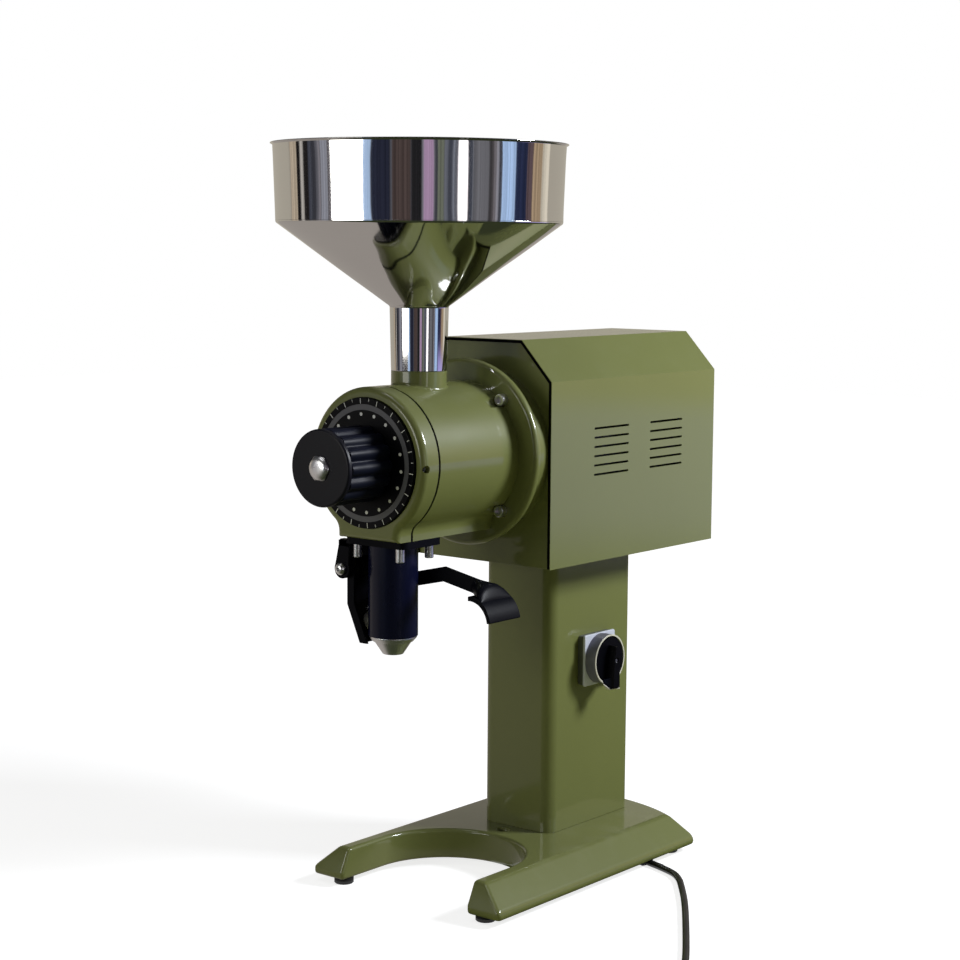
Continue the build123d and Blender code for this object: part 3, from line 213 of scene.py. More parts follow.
def enamel_group():
    """Sprayed enamel: slow tone drift, fine specks, orange peel, faint smears in the gloss, and dust on what
    faces up."""
    tree, given, result = new_group("sprayed_enamel", COMMON)
    spot = here(tree)
    drift = calc(tree, "MULTIPLY", centred(tree, noise(tree, spot, 4.0, 3.0)), given["Tone"])
    speck = calc(tree, "MULTIPLY", centred(tree, noise(tree, spot, 900.0, 1.0)), 0.06)
    clean = toned(tree, given["Colour"], calc(tree, "ADD", calc(tree, "ADD", drift, speck), 1.0))
    up = put(tree, "SeparateXYZ", None, Vector=put(tree, "NewGeometry").outputs["Normal"]).outputs["Z"]
    patches = ramp(tree, noise(tree, spot, 35.0, 6.0), 0.45, 0.75)
    dust = calc(tree, "MULTIPLY", ramp(tree, up, 0.6, 1.0), patches)
    dusty = toned(tree, clean, 1.5, 0.6)
    smear = centred(tree, noise(tree, here(tree, (1.0, 1.0, 0.35)), 22.0, 5.0))
    gloss = calc(tree, "MULTIPLY_ADD", smear, 0.16, given["Roughness"])
    return close_group(
        tree, result, Colour=blend_colours(tree, calc(tree, "MULTIPLY", dust, 0.3), clean, dusty),
        Roughness=calc(tree, "MULTIPLY_ADD", dust, 0.10, gloss, True),
        Height=noise(tree, spot, calc(tree, "MULTIPLY", given["Grain"], 260.0), 1.5))


def metal_group():
    """Worked metal: fine lines, closest along the axis that Lines multiplies most, and a cloudy polish."""
    tree, given, result = new_group("worked_metal", COMMON + [("Lines", "Vector", (1.0, 1.0, 60.0))])
    lines = noise(tree, here(tree, given["Lines"]), calc(tree, "MULTIPLY", given["Grain"], 40.0), 4.0, 0.7)
    cloud = centred(tree, noise(tree, here(tree), 14.0, 3.0))
    shade = calc(tree, "MULTIPLY_ADD", calc(tree, "ADD", centred(tree, lines), cloud), given["Tone"], 1.0)
    worn = calc(tree, "MULTIPLY_ADD", centred(tree, lines), 0.5, calc(tree, "MULTIPLY_ADD", cloud, 0.5, 1.0))
    return close_group(
        tree, result, Colour=toned(tree, given["Colour"], shade),
        Roughness=calc(tree, "MULTIPLY", worn, given["Roughness"], None, True), Height=lines)


def moulded_group():
    """Moulded plastic or rubber: fine even grain, slow tone drift, and a little dust."""
    tree, given, result = new_group("moulded_skin", COMMON)
    spot = here(tree)
    drift = centred(tree, noise(tree, spot, 30.0, 4.0))
    shade = calc(tree, "MULTIPLY", drift, given["Tone"])
    clean = toned(tree, given["Colour"], calc(tree, "ADD", shade, 1.0))
    dust = calc(tree, "MULTIPLY", ramp(tree, noise(tree, spot, 420.0, 2.0), 0.66, 0.8), 0.03)
    return close_group(
        tree, result, Colour=blend_colours(tree, dust, clean, (0.3, 0.3, 0.3, 1.0)),
        Roughness=calc(tree, "MULTIPLY_ADD", drift, 0.2, given["Roughness"], True),
        Height=noise(tree, spot, calc(tree, "MULTIPLY", given["Grain"], 900.0), 2.0))


GROUPS = {"enamel": enamel_group(), "metal": metal_group(), "moulded": moulded_group()}


def finish(name, kind, colour, rough, tone, grain, bump, relief, metallic=0.0, coat=0.0, coat_rough=0.05,
           specular=0.5, lines=None):
    """A material whose colour, roughness and bump come from one of the shared groups. The bump has a strength
    and a relief in metres."""
    made, tree = blank_material(name)
    effect = put(tree, "Group", {"node_tree": GROUPS[kind]}, Colour=(*colour, 1.0), Roughness=rough,
                 Tone=tone, Grain=grain)
    if lines:
        effect.inputs["Lines"].default_value = lines
    bumped = put(tree, "Bump", None, Strength=bump, Distance=relief, Height=effect.outputs["Height"])
    give_out(tree, put(tree, "BsdfPrincipled", None, Base_Color=effect.outputs["Colour"],
                       Roughness=effect.outputs["Roughness"], Metallic=metallic, Coat_Weight=coat,
                       Coat_Roughness=coat_rough, Specular_IOR_Level=specular, Normal=bumped.outputs[0]))
    return made


# name, group, colour, then roughness, tone, grain, bump and relief
olive_enamel = finish("olive_enamel", "enamel", (0.166, 0.183, 0.056), 0.46, 0.16, 1.0, 0.08, 0.0003,
                      coat=0.9, coat_rough=0.07, specular=0.25)
black_enamel = finish("black_enamel", "enamel", (0.0022, 0.0025, 0.0055), 0.42, 0.3, 1.0, 0.08, 0.0002,
                      coat=0.03, coat_rough=0.20, specular=0.06)
tube_enamel = finish("tube_enamel", "enamel", (0.0040, 0.0052, 0.0260), 0.30, 0.3, 1.0, 0.08, 0.0002,
                     coat=0.3, coat_rough=0.15, specular=0.15)
polished_sheet = finish("polished_sheet", "metal", (0.74, 0.73, 0.73), 0.055, 0.05, 1.0, 0.03, 0.00003,
                        metallic=1.0, lines=(1.0, 1.0, 30.0))
bright_plate = finish("bright_plate", "metal", (0.80, 0.80, 0.81), 0.10, 0.06, 2.0, 0.05, 0.00003,
                      metallic=1.0, lines=(1.0, 8.0, 1.0))
screw_steel = finish("screw_steel", "metal", (0.88, 0.88, 0.89), 0.30, 0.12, 3.0, 0.08, 0.00005,
                     metallic=1.0, lines=(1.0, 1.0, 6.0))
satin_steel = finish("satin_steel", "metal", (0.90, 0.90, 0.92), 0.30, 0.08, 2.0, 0.08, 0.00003,
                     metallic=1.0, lines=(1.0, 1.0, 8.0))
turned_steel = finish("turned_steel", "metal", (0.36, 0.36, 0.38), 0.34, 0.2, 2.0, 0.2, 0.00005,
                      metallic=1.0, lines=(1.0, 12.0, 1.0))
turned_bronze = finish("turned_bronze", "metal", (0.52, 0.36, 0.17), 0.3, 0.2, 2.0, 0.15, 0.00005,
                       metallic=1.0, lines=(1.0, 12.0, 1.0))
grey_iron = finish("grey_iron", "metal", (0.07, 0.07, 0.075), 0.6, 0.4, 4.0, 0.4, 0.0001,
                   metallic=0.6, lines=(1.0, 1.0, 1.0))
dark_casting = finish("dark_casting", "metal", (0.035, 0.035, 0.037), 0.6, 0.3, 4.0, 0.3, 0.0001,
                      metallic=0.4, lines=(1.0, 1.0, 1.0))
# Black rubber for the head's gasket, and the painted shade strip between front plate and cover.
gasket_and_gap_shade_black = finish("gasket_and_gap_shade_black", "moulded", (0.001, 0.001, 0.0012), 0.8, 0.4, 0.7, 0.3, 0.0001,
                      specular=0.05)
black_gloss = finish("black_gloss", "moulded", (0.0040, 0.0055, 0.0150), 0.46, 0.3, 0.5, 0.04, 0.00005,
                     specular=0.15)
black_matt = finish("black_matt", "moulded", (0.0045, 0.0045, 0.0100), 0.42, 0.3, 1.0, 0.12, 0.0001,
                    specular=0.25)
dial_black = finish("dial_black", "moulded", (0.0008, 0.0008, 0.0022), 0.40, 0.2, 1.0, 0.05, 0.0001,
                    specular=0.12)
dial_grey = finish("dial_grey", "moulded", (0.10, 0.10, 0.118), 0.42, 0.2, 1.0, 0.08, 0.0001)
mark_paint = finish("mark_paint", "moulded", (0.78, 0.79, 0.80), 0.5, 0.3, 1.0, 0.1, 0.0001)
pale_moulded = finish("pale_moulded", "moulded", (0.60, 0.63, 0.72), 0.36, 0.1, 1.0, 0.08, 0.0001)
# Cream plastic for the pointer's lip, and the painted highlight on the switch guard's rim.
cream_and_highlight_moulded = finish("cream_and_highlight_moulded", "moulded", (0.62, 0.60, 0.52), 0.4, 0.1, 1.0, 0.08, 0.0001)
violet_moulded = finish("violet_moulded", "moulded", (0.130, 0.130, 0.180), 0.4, 0.2, 1.0, 0.1, 0.0001)
dark_moulded = finish("dark_moulded", "moulded", (0.105, 0.112, 0.095), 0.45, 0.2, 1.0, 0.12, 0.0001)
black_rubber = finish("black_rubber", "moulded", (0.006, 0.006, 0.006), 0.62, 0.4, 0.7, 0.3, 0.0001)
pad_rubber = finish("pad_rubber", "moulded", (0.74, 0.74, 0.73), 0.55, 0.2, 0.7, 0.2, 0.0001)
cord_skin = finish("cord_skin", "moulded", (0.007, 0.0065, 0.0085), 0.36, 0.3, 0.6, 0.1, 0.0001)

# ---------------------------------------------------------------- mesh helpers
MERGE = 2e-6                  # metres between points that are one
SHARP_SKIN, SHARP_CAD = 35.0, 30.0


def finish_mesh(name, work, body, material, covers, sharp):
    """A piece from a worked mesh, smooth but for edges of more than sharp degrees, on its body."""
    mesh = bpy.data.meshes.new(name)
    work.to_mesh(mesh)
    work.free()
    mesh.polygons.foreach_set("use_smooth", np.full(len(mesh.polygons), True))
    mesh.set_sharp_from_angle(angle=math.radians(sharp))
    mesh.materials.append(material)
    piece = set_out(name, mesh)
    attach(piece, body)
    if covers:
        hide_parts(*covers)
    return piece


def mesh_of_grids(name, sheets, scale=1.0):
    """One mesh from several grids of points [rows, columns, 3]: neighbours in a grid make quads."""
    spots, faces, start = [], [], 0
    for grid in sheets:
        rows, columns = grid.shape[:2]
        index = start + np.arange(rows * columns).reshape(rows, columns)
        quads = np.stack([index[:-1, :-1], index[1:, :-1], index[1:, 1:], index[:-1, 1:]], axis=-1)
        faces.append(quads.reshape(-1, 4))
        spots.append(grid.reshape(-1, 3))
        start += rows * columns
    mesh = bpy.data.meshes.new(name)
    mesh.from_pydata((np.concatenate(spots) * scale).tolist(), [], np.concatenate(faces).tolist())
    return mesh


def skin(name, sheets, body, material, slot, covers=(), sharp=SHARP_SKIN):
    """A piece from grids in millimetres: doubles merged, and faces turned outward."""
    rough = mesh_of_grids("rough", sheets, MM)
    work = bmesh.new()
    work.from_mesh(rough)
    bpy.data.meshes.remove(rough)
    bmesh.ops.remove_doubles(work, verts=work.verts, dist=MERGE)
    bmesh.ops.dissolve_degenerate(work, edges=work.edges, dist=MERGE / 2)
    bmesh.ops.recalc_face_normals(work, faces=work.faces)
    return finish_mesh(name, work, body, material, covers, sharp)


def dressed(node, material, round_edge, segments=2):
    """Copy of a CAD node: loose triangles merged, flat regions joined, sharp edges rounded by a bevel."""
    work = bmesh.new()
    work.from_mesh(nodes[node].data)
    bmesh.ops.remove_doubles(work, verts=work.verts, dist=MERGE)
    bmesh.ops.dissolve_limit(work, angle_limit=math.radians(0.4), verts=work.verts, edges=work.edges)
    piece = finish_mesh(node + "_body", work, nodes[node]["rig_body"], material, [node], SHARP_CAD)
    bevel = piece.modifiers.new("round", "BEVEL")
    bevel.width = round_edge * MM
    bevel.segments = segments
    bevel.limit_method = "ANGLE"
    bevel.angle_limit = math.radians(SHARP_CAD)
    bevel.use_clamp_overlap = node != "base_casting"
    piece.modifiers.new("normals", "WEIGHTED_NORMAL")
    return piece


def unit(arrow):
    """An arrow of the same direction and length 1."""
    return arrow / np.linalg.norm(arrow)


def eased(share):
    """Share 0..1 with a level start and end: 3 s^2 - 2 s^3."""
    return share * share * (3 - 2 * share)


def soften(corners, steps=6):
    """Outline with each corner (a, b, round) replaced by a tangent arc: centre at round / sin(half angle)
    along the bisector, points turned evenly between the two tangent points."""
    corners = np.array([(*c, 0.0)[:3] for c in corners], float)
    line = [corners[0, :2]]
    for before, corner, after in zip(corners, corners[1:], corners[2:]):
        spot, size = corner[:2], corner[2]
        back, forth = before[:2] - spot, after[:2] - spot
        reach = min(np.linalg.norm(back), np.linalg.norm(forth))
        back, forth = unit(back), unit(forth)
        half = math.acos(np.clip(back @ forth, -1, 1)) / 2
        if size < 1e-6 or half > 1.56:        # a sharp corner, or hardly a corner
            line.append(spot)
            continue
        cut = min(size / math.tan(half), 0.49 * reach)
        size = cut * math.tan(half)
        middle = spot + unit(back + forth) * size / math.sin(half)
        first, last = spot + back * cut - middle, spot + forth * cut - middle
        sweep = math.pi - 2 * half
        share = np.linspace(0, 1, steps + 1)[:, None]
        arc = (np.sin((1 - share) * sweep) * first + np.sin(share * sweep) * last) / math.sin(sweep)
        line.extend(middle + arc)
    line.append(corners[-1, :2])
    return guarded(np.array(line))


def guarded(line, guard=0.35):
    """Adds a point close to both ends of every long straight part, so that shading there stays flat."""
    full = [line[0]]
    for start, end in zip(line, line[1:]):
        length = np.linalg.norm(end - start)
        if length > 4 * guard:
            ahead = (end - start) / length
            full.extend([start + ahead * guard, end - ahead * guard])
        full.append(end)
    return np.array(full)


def dense(line, reach):
    """Splits every part longer than reach into equal shorter ones."""
    full = [line[:1]]
    for start, end in zip(line, line[1:]):
        count = max(1, math.ceil(np.linalg.norm(end - start) / reach))
        full.append(start + (end - start) * (np.arange(1, count + 1)[:, None] / count))
    return np.concatenate(full)


def turned(outline, centre, axis="z", count=96, wobble=None):
    """Surface of revolution: outline of (radius, height) points carried round the axis through centre.
    wobble(angle, height) adds to the radius."""
    outline = np.asarray(outline, float)
    angle = np.linspace(0, 2 * math.pi, count + 1)[None, :]
    angle[0, -1] = 0.0
    radius, height = outline[:, :1], outline[:, 1:2]
    radius = radius + (wobble(angle, height) if wobble else 0.0) * np.ones_like(angle)
    across, over, height = radius * np.cos(angle), radius * np.sin(angle), height * np.ones_like(angle)
    order = {"z": (across, over, height), "y": (across, height, over), "x": (height, across, over)}[axis]
    return np.stack(order, axis=-1) + np.asarray(centre, float)


def spun(name, profile, centre, axis, count, *looks):
    """A piece turned from one profile of (radius, height, round) points. looks are those of skin."""
    return skin(name, [turned(soften(profile), centre, axis, count)], *looks)


def fan(ring, middle=None):
    """Fan from a row of points to a given one, or from a closed ring to its own middle."""
    middle = ring[:-1].mean(axis=0) if middle is None else np.asarray(middle, float)
    return np.stack([ring, np.broadcast_to(middle, ring.shape)])


# ---------------------------------------------------------------- cord: route as in the solids, then the coil
CORD_RADIUS = 3.75
ROUTE = np.array([(124, 133.5), (163, 122), (185, 106.5), (206, 80.5), (240, 35.5),
                  (294, -45), (341, -117), (374, -174), (396, -215)])
OUTER_TURN, MIDDLE_TURN, INNER_TURN, COIL_OUT = 44.75, 41.0, 37.25, 48.5
TURNS, TURN_POINTS = 5, 20
PLUG_RISE, PLUG_GAP = 17.0, 0.3
leave, arrival = unit(ROUTE[1] - ROUTE[0]), unit(ROUTE[-1] - ROUTE[-2])
aside = np.array([arrival[1], -arrival[0]])
coil_centre = ROUTE[-1] - aside * MIDDLE_TURN
coil_reach = math.sqrt(COIL_OUT ** 2 - (OUTER_TURN - CORD_RADIUS) ** 2)
plug_start = coil_centre + aside * OUTER_TURN + arrival * (coil_reach + PLUG_GAP)


def coil_points():
    """Five turns by angle: radius and height step between the two columns and three layers in the last fifth
    of each turn. The cord arrives halfway between the columns, so the first turn dips inwards at both its
    ends. The spline runs inside its points, so the radius is divided by cos(half a step)."""
    whole = np.arange(1, TURNS * TURN_POINTS) / TURN_POINTS
    turn, part = np.floor(whole).astype(int), whole % 1.0
    step = eased(np.clip((part - 0.78) / 0.20, 0, 1))
    radius = np.array([OUTER_TURN, INNER_TURN, INNER_TURN, OUTER_TURN, OUTER_TURN, OUTER_TURN])
    level = np.array([0, 0, 1, 1, 2, 1.77]) * 2 * CORD_RADIUS + CORD_RADIUS
    out = radius[turn] + (radius[turn + 1] - radius[turn]) * step
    height = level[turn] + (level[turn + 1] - level[turn]) * step
    dip = np.interp(whole, [0, 0.12, 0.35, 0.80, 1.0, 1.12, 1.35], [1, 0.85, 0, 0, 1, 0.85, 0])
    out = (out - (OUTER_TURN - MIDDLE_TURN) * dip) / math.cos(math.pi / TURN_POINTS)
    angle = 2 * math.pi * whole
    spot = coil_centre + out[:, None] * (np.cos(angle)[:, None] * aside + np.sin(angle)[:, None] * arrival)
    return np.concatenate([spot, height[:, None]], axis=1)


def make_cord():
    """One open smooth spline: the route's points, the coil's turns, then straight into the plug's relief."""
    lying = np.column_stack([ROUTE, np.full(len(ROUTE), CORD_RADIUS)])
    into = plug_start - arrival * 12.0
    tail = np.array([(*into, PLUG_RISE), (*plug_start, PLUG_RISE)])
    points = np.concatenate([lying, coil_points(), tail]) * MM
    data = bpy.data.curves.new("mains_cord", "CURVE")
    data.dimensions = "3D"
    data.bevel_depth = CORD_RADIUS * MM
    data.bevel_resolution = 6
    data.resolution_u = 8
    spline = data.splines.new("NURBS")
    spline.points.add(len(points) - 1)
    spline.points.foreach_set("co", np.concatenate([points, np.ones((len(points), 1))], axis=1).ravel())
    spline.order_u = 3
    spline.use_endpoint_u = True
    data.materials.append(cord_skin)
    cord = set_out("mains_cord", data)
    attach(cord, "frame")
    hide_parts("power_cord", "cord_coil")
    return cord


mains_cord = make_cord()


def lay_along(outline, count, start, direction, centre=(0, 0, 0)):
    """Shape turned round X, then swung level so that it starts at a point and runs in a direction."""
    ahead = np.array([direction[0], direction[1], 0.0])
    side = np.array([-direction[1], direction[0], 0.0])
    basis = np.stack([ahead, side, [0.0, 0.0, 1.0]])
    return turned(outline, centre, "x", count) @ basis + np.asarray(start, float)


def ribbed(length, thick, thin, count, depth):
    """Outline of a tapered relief with rings cut into it."""
    place = np.linspace(0, 1, count * 8 + 1)
    size = thick + (thin - thick) * place
    size = size - depth * (0.5 - 0.5 * np.cos(2 * math.pi * count * place)) ** 3
    return np.stack([size, place * length], axis=1)


dressed("cord_gland", black_rubber, 0.8)
plug_outline = np.concatenate([
    [(3.6, 0.0)], ribbed(28.0, 4.6, 8.2, 6, 0.9),
    soften([(8.2, 28.0), (8.5, 30.0, 0.6), (16.9, 31.5, 3.0), (16.9, 40.0, 2.0), (15.6, 42.0, 1.0),
            (15.6, 52.0, 1.0), (16.9, 54.0, 2.0), (16.9, 63.8, 1.5), (0.0, 63.8)])])
plug_place = ((*plug_start, PLUG_RISE), arrival)
plug_body = skin("plug_moulding", [lay_along(plug_outline, 64, *plug_place)], "frame", black_rubber,
                 "cord_rubber", ["power_plug"])
pin_outline = soften([(2.35, 0.0), (2.35, 19.0, 1.2), (0.0, 19.0)])
pins = [lay_along(pin_outline, 24, *plug_place, (63.5, apart, 0)) for apart in (-9.5, 9.5)]
plug_pins = skin("plug_pins", pins, "frame", bright_plate, "screw_steel")
relief_outline = np.concatenate([[(3.3, 0.0)], ribbed(26.0, 3.9, 3.76, 5, 0.35), [(3.3, 26.0)]])
cord_relief = skin("cord_relief", [lay_along(relief_outline, 32, (*ROUTE[0], CORD_RADIUS + 0.2), leave)],
                   "frame", black_rubber, "cord_rubber")

# ---------------------------------------------------------------- hopper
SEAM_Z = 741.5
WALL_LOW, WALL_HIGH, CONE_LOW, CONE_RISE = 741.0, 818.0, 652.0, 85.0       # where the ripples are


def wall_ripple(angle, height):
    """Slight unevenness of spun sheet: a few low harmonics round the wall, fading at the lip and below."""
    fade = np.clip((WALL_HIGH - height) / 12.0, 0, 1) * np.clip((height - WALL_LOW) / 10.0, 0, 1)
    wave = (np.cos(5 * angle + 0.6) * 0.30 + np.cos(11 * angle + 2.1) * 0.14 + np.cos(23 * angle + 4.0) * 0.05
            + np.cos(37 * angle + 1.0) * 0.02)
    return fade * (wave - 0.5) * 0.35


rim = soften([(152.5, SEAM_Z), (155.3, 820.2, 0.8), (157.9, 821.7, 0.3), (157.6, 822.6, 0.3),
              (154.1, 821.0, 0.8), (151.3, SEAM_Z)])
rim = dense(np.concatenate([rim, rim[:1]]), 6.0)
skin("hopper_wall", [turned(rim, NECK_AXIS, "z", 288, wall_ripple)], "frame", polished_sheet,
     "polished_steel", ["hopper_bowl"])


def cone_ripple(angle, height):
    """Hand-rolled unevenness of the cone: slow waves that lean round as they climb, none at neck and seam."""
    climb = np.clip((height - CONE_LOW) / CONE_RISE, 0, 1)
    fade = np.sin(math.pi * climb) ** 2
    lean = angle + 0.9 * climb
    return fade * (0.55 * np.cos(4 * lean + 0.4) + 0.32 * np.cos(7 * lean + 2.0) + 0.10 * np.cos(15 * lean))


funnel = soften([(151.3, SEAM_Z), (152.5, SEAM_Z, 0.3), (152.3, 739.3, 6.0), (31.6, 651.5, 2.5),
                 (30.0, 583.1, 0.5), (25.7, 583.1, 0.3), (25.7, 569.0, 0.3), (24.5, 569.0, 0.3),
                 (24.5, 584.3, 0.5), (28.8, 585.4, 0.5), (30.4, 652.1, 2.5), (151.0, 740.0, 4.0),
                 (151.3, SEAM_Z)])
skin("hopper_funnel", [turned(dense(funnel, 5.0), NECK_AXIS, "z", 288, cone_ripple)], "frame",
     polished_sheet, "polished_steel", ["hopper_cone"])

# ---------------------------------------------------------------- castings and sheet metal
# each node with its edge radius
for node, edge in (("base_casting", 4.2), ("column", 0.6), ("grinder_head", 1.8), ("adjuster_housing", 2.4),
                   ("front_plate", 0.6), ("motor_cover", 0.9), ("back_panel", 0.3)):
    dressed(node, olive_enamel, edge, 3)
for node, edge in (("spout_plate", 1.0), ("clamp_arm", 0.8), ("clamp_lever", 1.5)):
    dressed(node, black_enamel, edge, 3)

# Black gauze behind the air slots of the back panel
skin("air_gauze", [turned([(0.0, 295.0), (60.0, 295.0), (60.0, 296.0), (0.0, 296.0), (0.0, 295.0)],
                          HEAD_AXIS, "y", 64)], "frame", black_rubber, "black_plastic")

HOUSING_SIDE, SHOULDER_X, SHOULDER_Z, HOUSING_TOP, HOUSING_LOW = 96.8, 55.2, 569.6, 614.0, 364.5
# Front and back of the black strip that paints the shade of the gap between front plate and cover.
GAP_SHADE_FRONT, GAP_SHADE_BACK = -26.8, -22.6


def housing_line(inset):
    """The housing's section seen from the front, open below and drawn in by inset: side, slanted shoulder,
    top."""
    side, corner, shoulder = HOUSING_SIDE - inset, SHOULDER_X - 0.37 * inset, SHOULDER_Z - 0.44 * inset
    half = np.array([(side, HOUSING_LOW), (side, shoulder), (corner, HOUSING_TOP - inset)])
    return np.concatenate([half, half[::-1] * (-1, 1)])


# A black strip in the joint between front plate and cover: painted shade of the gap there.
outer_gap_line, inner_gap_line = housing_line(0.7), housing_line(3.7)
gap_shade_rows = [np.stack([line[:, 0], np.full(len(line), y), line[:, 1]], axis=1)
              for line, y in ((outer_gap_line, GAP_SHADE_BACK), (outer_gap_line, GAP_SHADE_FRONT),
                              (inner_gap_line, GAP_SHADE_FRONT), (inner_gap_line, GAP_SHADE_BACK),
                              (outer_gap_line, GAP_SHADE_BACK))]
skin("plate_gap_shade_strip", [np.array(gap_shade_rows)], "frame", gasket_and_gap_shade_black, "rubber")

# ---------------------------------------------------------------- clamp
spun("pivot_sleeve", [(9.0, -183.6), (11.7, -183.6, 0.4), (11.7, -167.4, 0.4), (9.0, -167.4), (9.0, -183.6)],
     PIVOT_AXIS, "y", 48, "clamp", black_enamel, "black_paint")


def loft(stations):
    """Closed solid through rectangles (x, y low, y high, z low, z high), one after another."""
    rings = np.array([[(x, y0, z0), (x, y1, z0), (x, y1, z1), (x, y0, z1), (x, y0, z0)]
                      for x, y0, y1, z0, z1 in stations], float)
    return [rings, fan(rings[0]), fan(rings[-1])]


skin("ear_lip", loft([(-50.5, -206.5, -147.5, 397.2, 403.2), (-36.0, -206.5, -147.5, 396.6, 403.2)]), "frame",
     black_enamel, "black_paint")


FAN_START, FAN_LENGTH, FAN_Y, BAR_HALF, FAN_SPREAD = 84.0, 31.5, -143.8, 3.2, 22.4


def paddle_fan(count=24):
    """The lever's bar running out over its paddle: half domes over a width that eases from the bar's to the
    paddle's, their top along the bar's upper edge and then down into the paddle."""
    share = np.linspace(0, 1, count)[:, None]
    along = FAN_START + FAN_LENGTH * share
    half = BAR_HALF + FAN_SPREAD * eased(share) ** 0.8
    top = np.interp(along, [84, 100, 106, 110, 113, 115.5], [369.2, 366.1, 365.0, 361.2, 355.6, 349.4])
    low = 354.0 - 5.5 * share
    turn = np.linspace(0, math.pi, 25)[None, :]
    rise = np.clip(np.sin(turn), 0, 1) ** 0.7
    dome = np.stack([along + 0 * turn, FAN_Y + half * np.cos(turn), low + (top - low) * rise], axis=-1)
    ends = [fan(row, row.mean(axis=0)) for row in (dome[0], dome[-1])]
    closing = [fan(row[[0, -1]], row.mean(axis=0)) for row in (dome[0], dome[-1])]
    return [dome, dome[:, [0, -1]], *ends, *closing]


skin("paddle_fan", paddle_fan(), "clamp", black_enamel, "black_paint", (), 60)

# ---------------------------------------------------------------- spout
PLATE_LOW, PIPE_LOW, BAND_TOP, BAND_LOW = 400.4, 301.6, 301.5, 295.6
spun("spout_pipe", [(23.4, PLATE_LOW), (26.7, PLATE_LOW, 0.2), (26.7, PIPE_LOW, 0.6), (23.4, PIPE_LOW, 0.3),
                    (23.4, PLATE_LOW)], TUBE_AXIS, "z", 128,
     "frame", tube_enamel, "black_paint", ["spout_tube"])
spun("spout_band", [(20.4, BAND_TOP), (25.6, BAND_TOP, 0.3), (25.6, 300.0, 0.5), (21.8, BAND_LOW, 0.4),
                    (20.4, BAND_LOW), (20.4, BAND_TOP)], TUBE_AXIS, "z", 128,
     "frame", satin_steel, "chrome", ["spout_ring"])
spun("spout_tip", [(19.1, BAND_TOP), (20.3, BAND_TOP, 0.1), (20.3, 295.5, 0.8), (11.1, 281.6, 1.6),
                   (9.9, 281.6, 0.3), (19.1, 296.7, 0.8), (19.1, BAND_TOP)], TUBE_AXIS, "z", 96,
     "frame", satin_steel, "polished_steel", ["spout_nozzle"])

# ---------------------------------------------------------------- knob, cap, nut
KNOB_LOBES, LOBE_CENTRE, LOBE_RADIUS, KNOB_CORE = 14, 33.3, 7.0, 36.2
KNOB_BACK, KNOB_FRONT, CAP_BACK, CAP_FRONT = -222.5, -283.0, -284.0, -289.5


def knob_plan(count=KNOB_LOBES * 24, soft=0.8):
    """Lobed outline: each lobe is a circle, its far side at angle a from the lobe's middle is
    c cos a + sqrt(R^2 - c^2 sin^2 a), joined to the core circle by a smooth maximum."""
    angle = np.linspace(0, 2 * math.pi, count, endpoint=False)
    step = 2 * math.pi / KNOB_LOBES
    away = (angle + step / 2) % step - step / 2
    under = np.maximum(LOBE_RADIUS ** 2 - (LOBE_CENTRE * np.sin(away)) ** 2, 0.0)
    lobe = LOBE_CENTRE * np.cos(away) + np.sqrt(under) - 3.0 * (under <= 0)
    reach = soft * np.log(np.exp(lobe / soft) + np.exp(KNOB_CORE / soft))
    reach = np.minimum(reach, LOBE_CENTRE + LOBE_RADIUS)
    return np.stack([reach * np.cos(angle), reach * np.sin(angle)], axis=1)


def knob_walls(outline, low, high, round_edge, steps=4):
    """Walls of a closed outline round the head's axis, from low to high, with rounded rims drawn in along the
    outline's normals."""
    forth = np.roll(outline, -1, axis=0) - np.roll(outline, 1, axis=0)
    forth /= np.linalg.norm(forth, axis=1)[:, None]
    inward = np.stack([-forth[:, 1], forth[:, 0]], axis=1)
    turn = np.linspace(0, math.pi / 2, steps + 1)
    inset = list(round_edge * (1 - np.sin(turn))) + list(round_edge * (1 - np.cos(turn)))
    level = list(low + round_edge * (1 - np.cos(turn))) + list(high - round_edge * (1 - np.sin(turn)))
    rows = []
    for depth, height in zip(inset, level):
        ring = outline + inward * depth
        ring = np.concatenate([ring, ring[:1]])
        rows.append(np.stack([ring[:, 0], np.full(len(ring), height), ring[:, 1]], axis=1))
    return np.array(rows) + HEAD_AXIS


walls = knob_walls(knob_plan(), KNOB_FRONT, KNOB_BACK, 0.9)
knob_faces = [fan(walls[0], (0, KNOB_FRONT, AXIS_Z)), fan(walls[-1], (0, KNOB_BACK, AXIS_Z))]
skin("lobed_knob", [walls] + knob_faces, "adjuster", black_gloss, "black_gloss", ["grind_knob"], 40)
groove = [(0.0, KNOB_FRONT + 0.1), (35.0, KNOB_FRONT + 0.1), (35.0, CAP_BACK - 0.1), (0.0, CAP_BACK - 0.1)]
skin("knob_groove", [turned(groove, HEAD_AXIS, "y", 96)], "adjuster", black_matt, "black_plastic")
spun("knob_cover", [(0.0, CAP_BACK), (40.2, CAP_BACK, 0.9), (40.2, CAP_FRONT, 2.4), (0.0, CAP_FRONT)],
     HEAD_AXIS, "y", 144, "adjuster", black_matt, "black_plastic", ["knob_cap"])


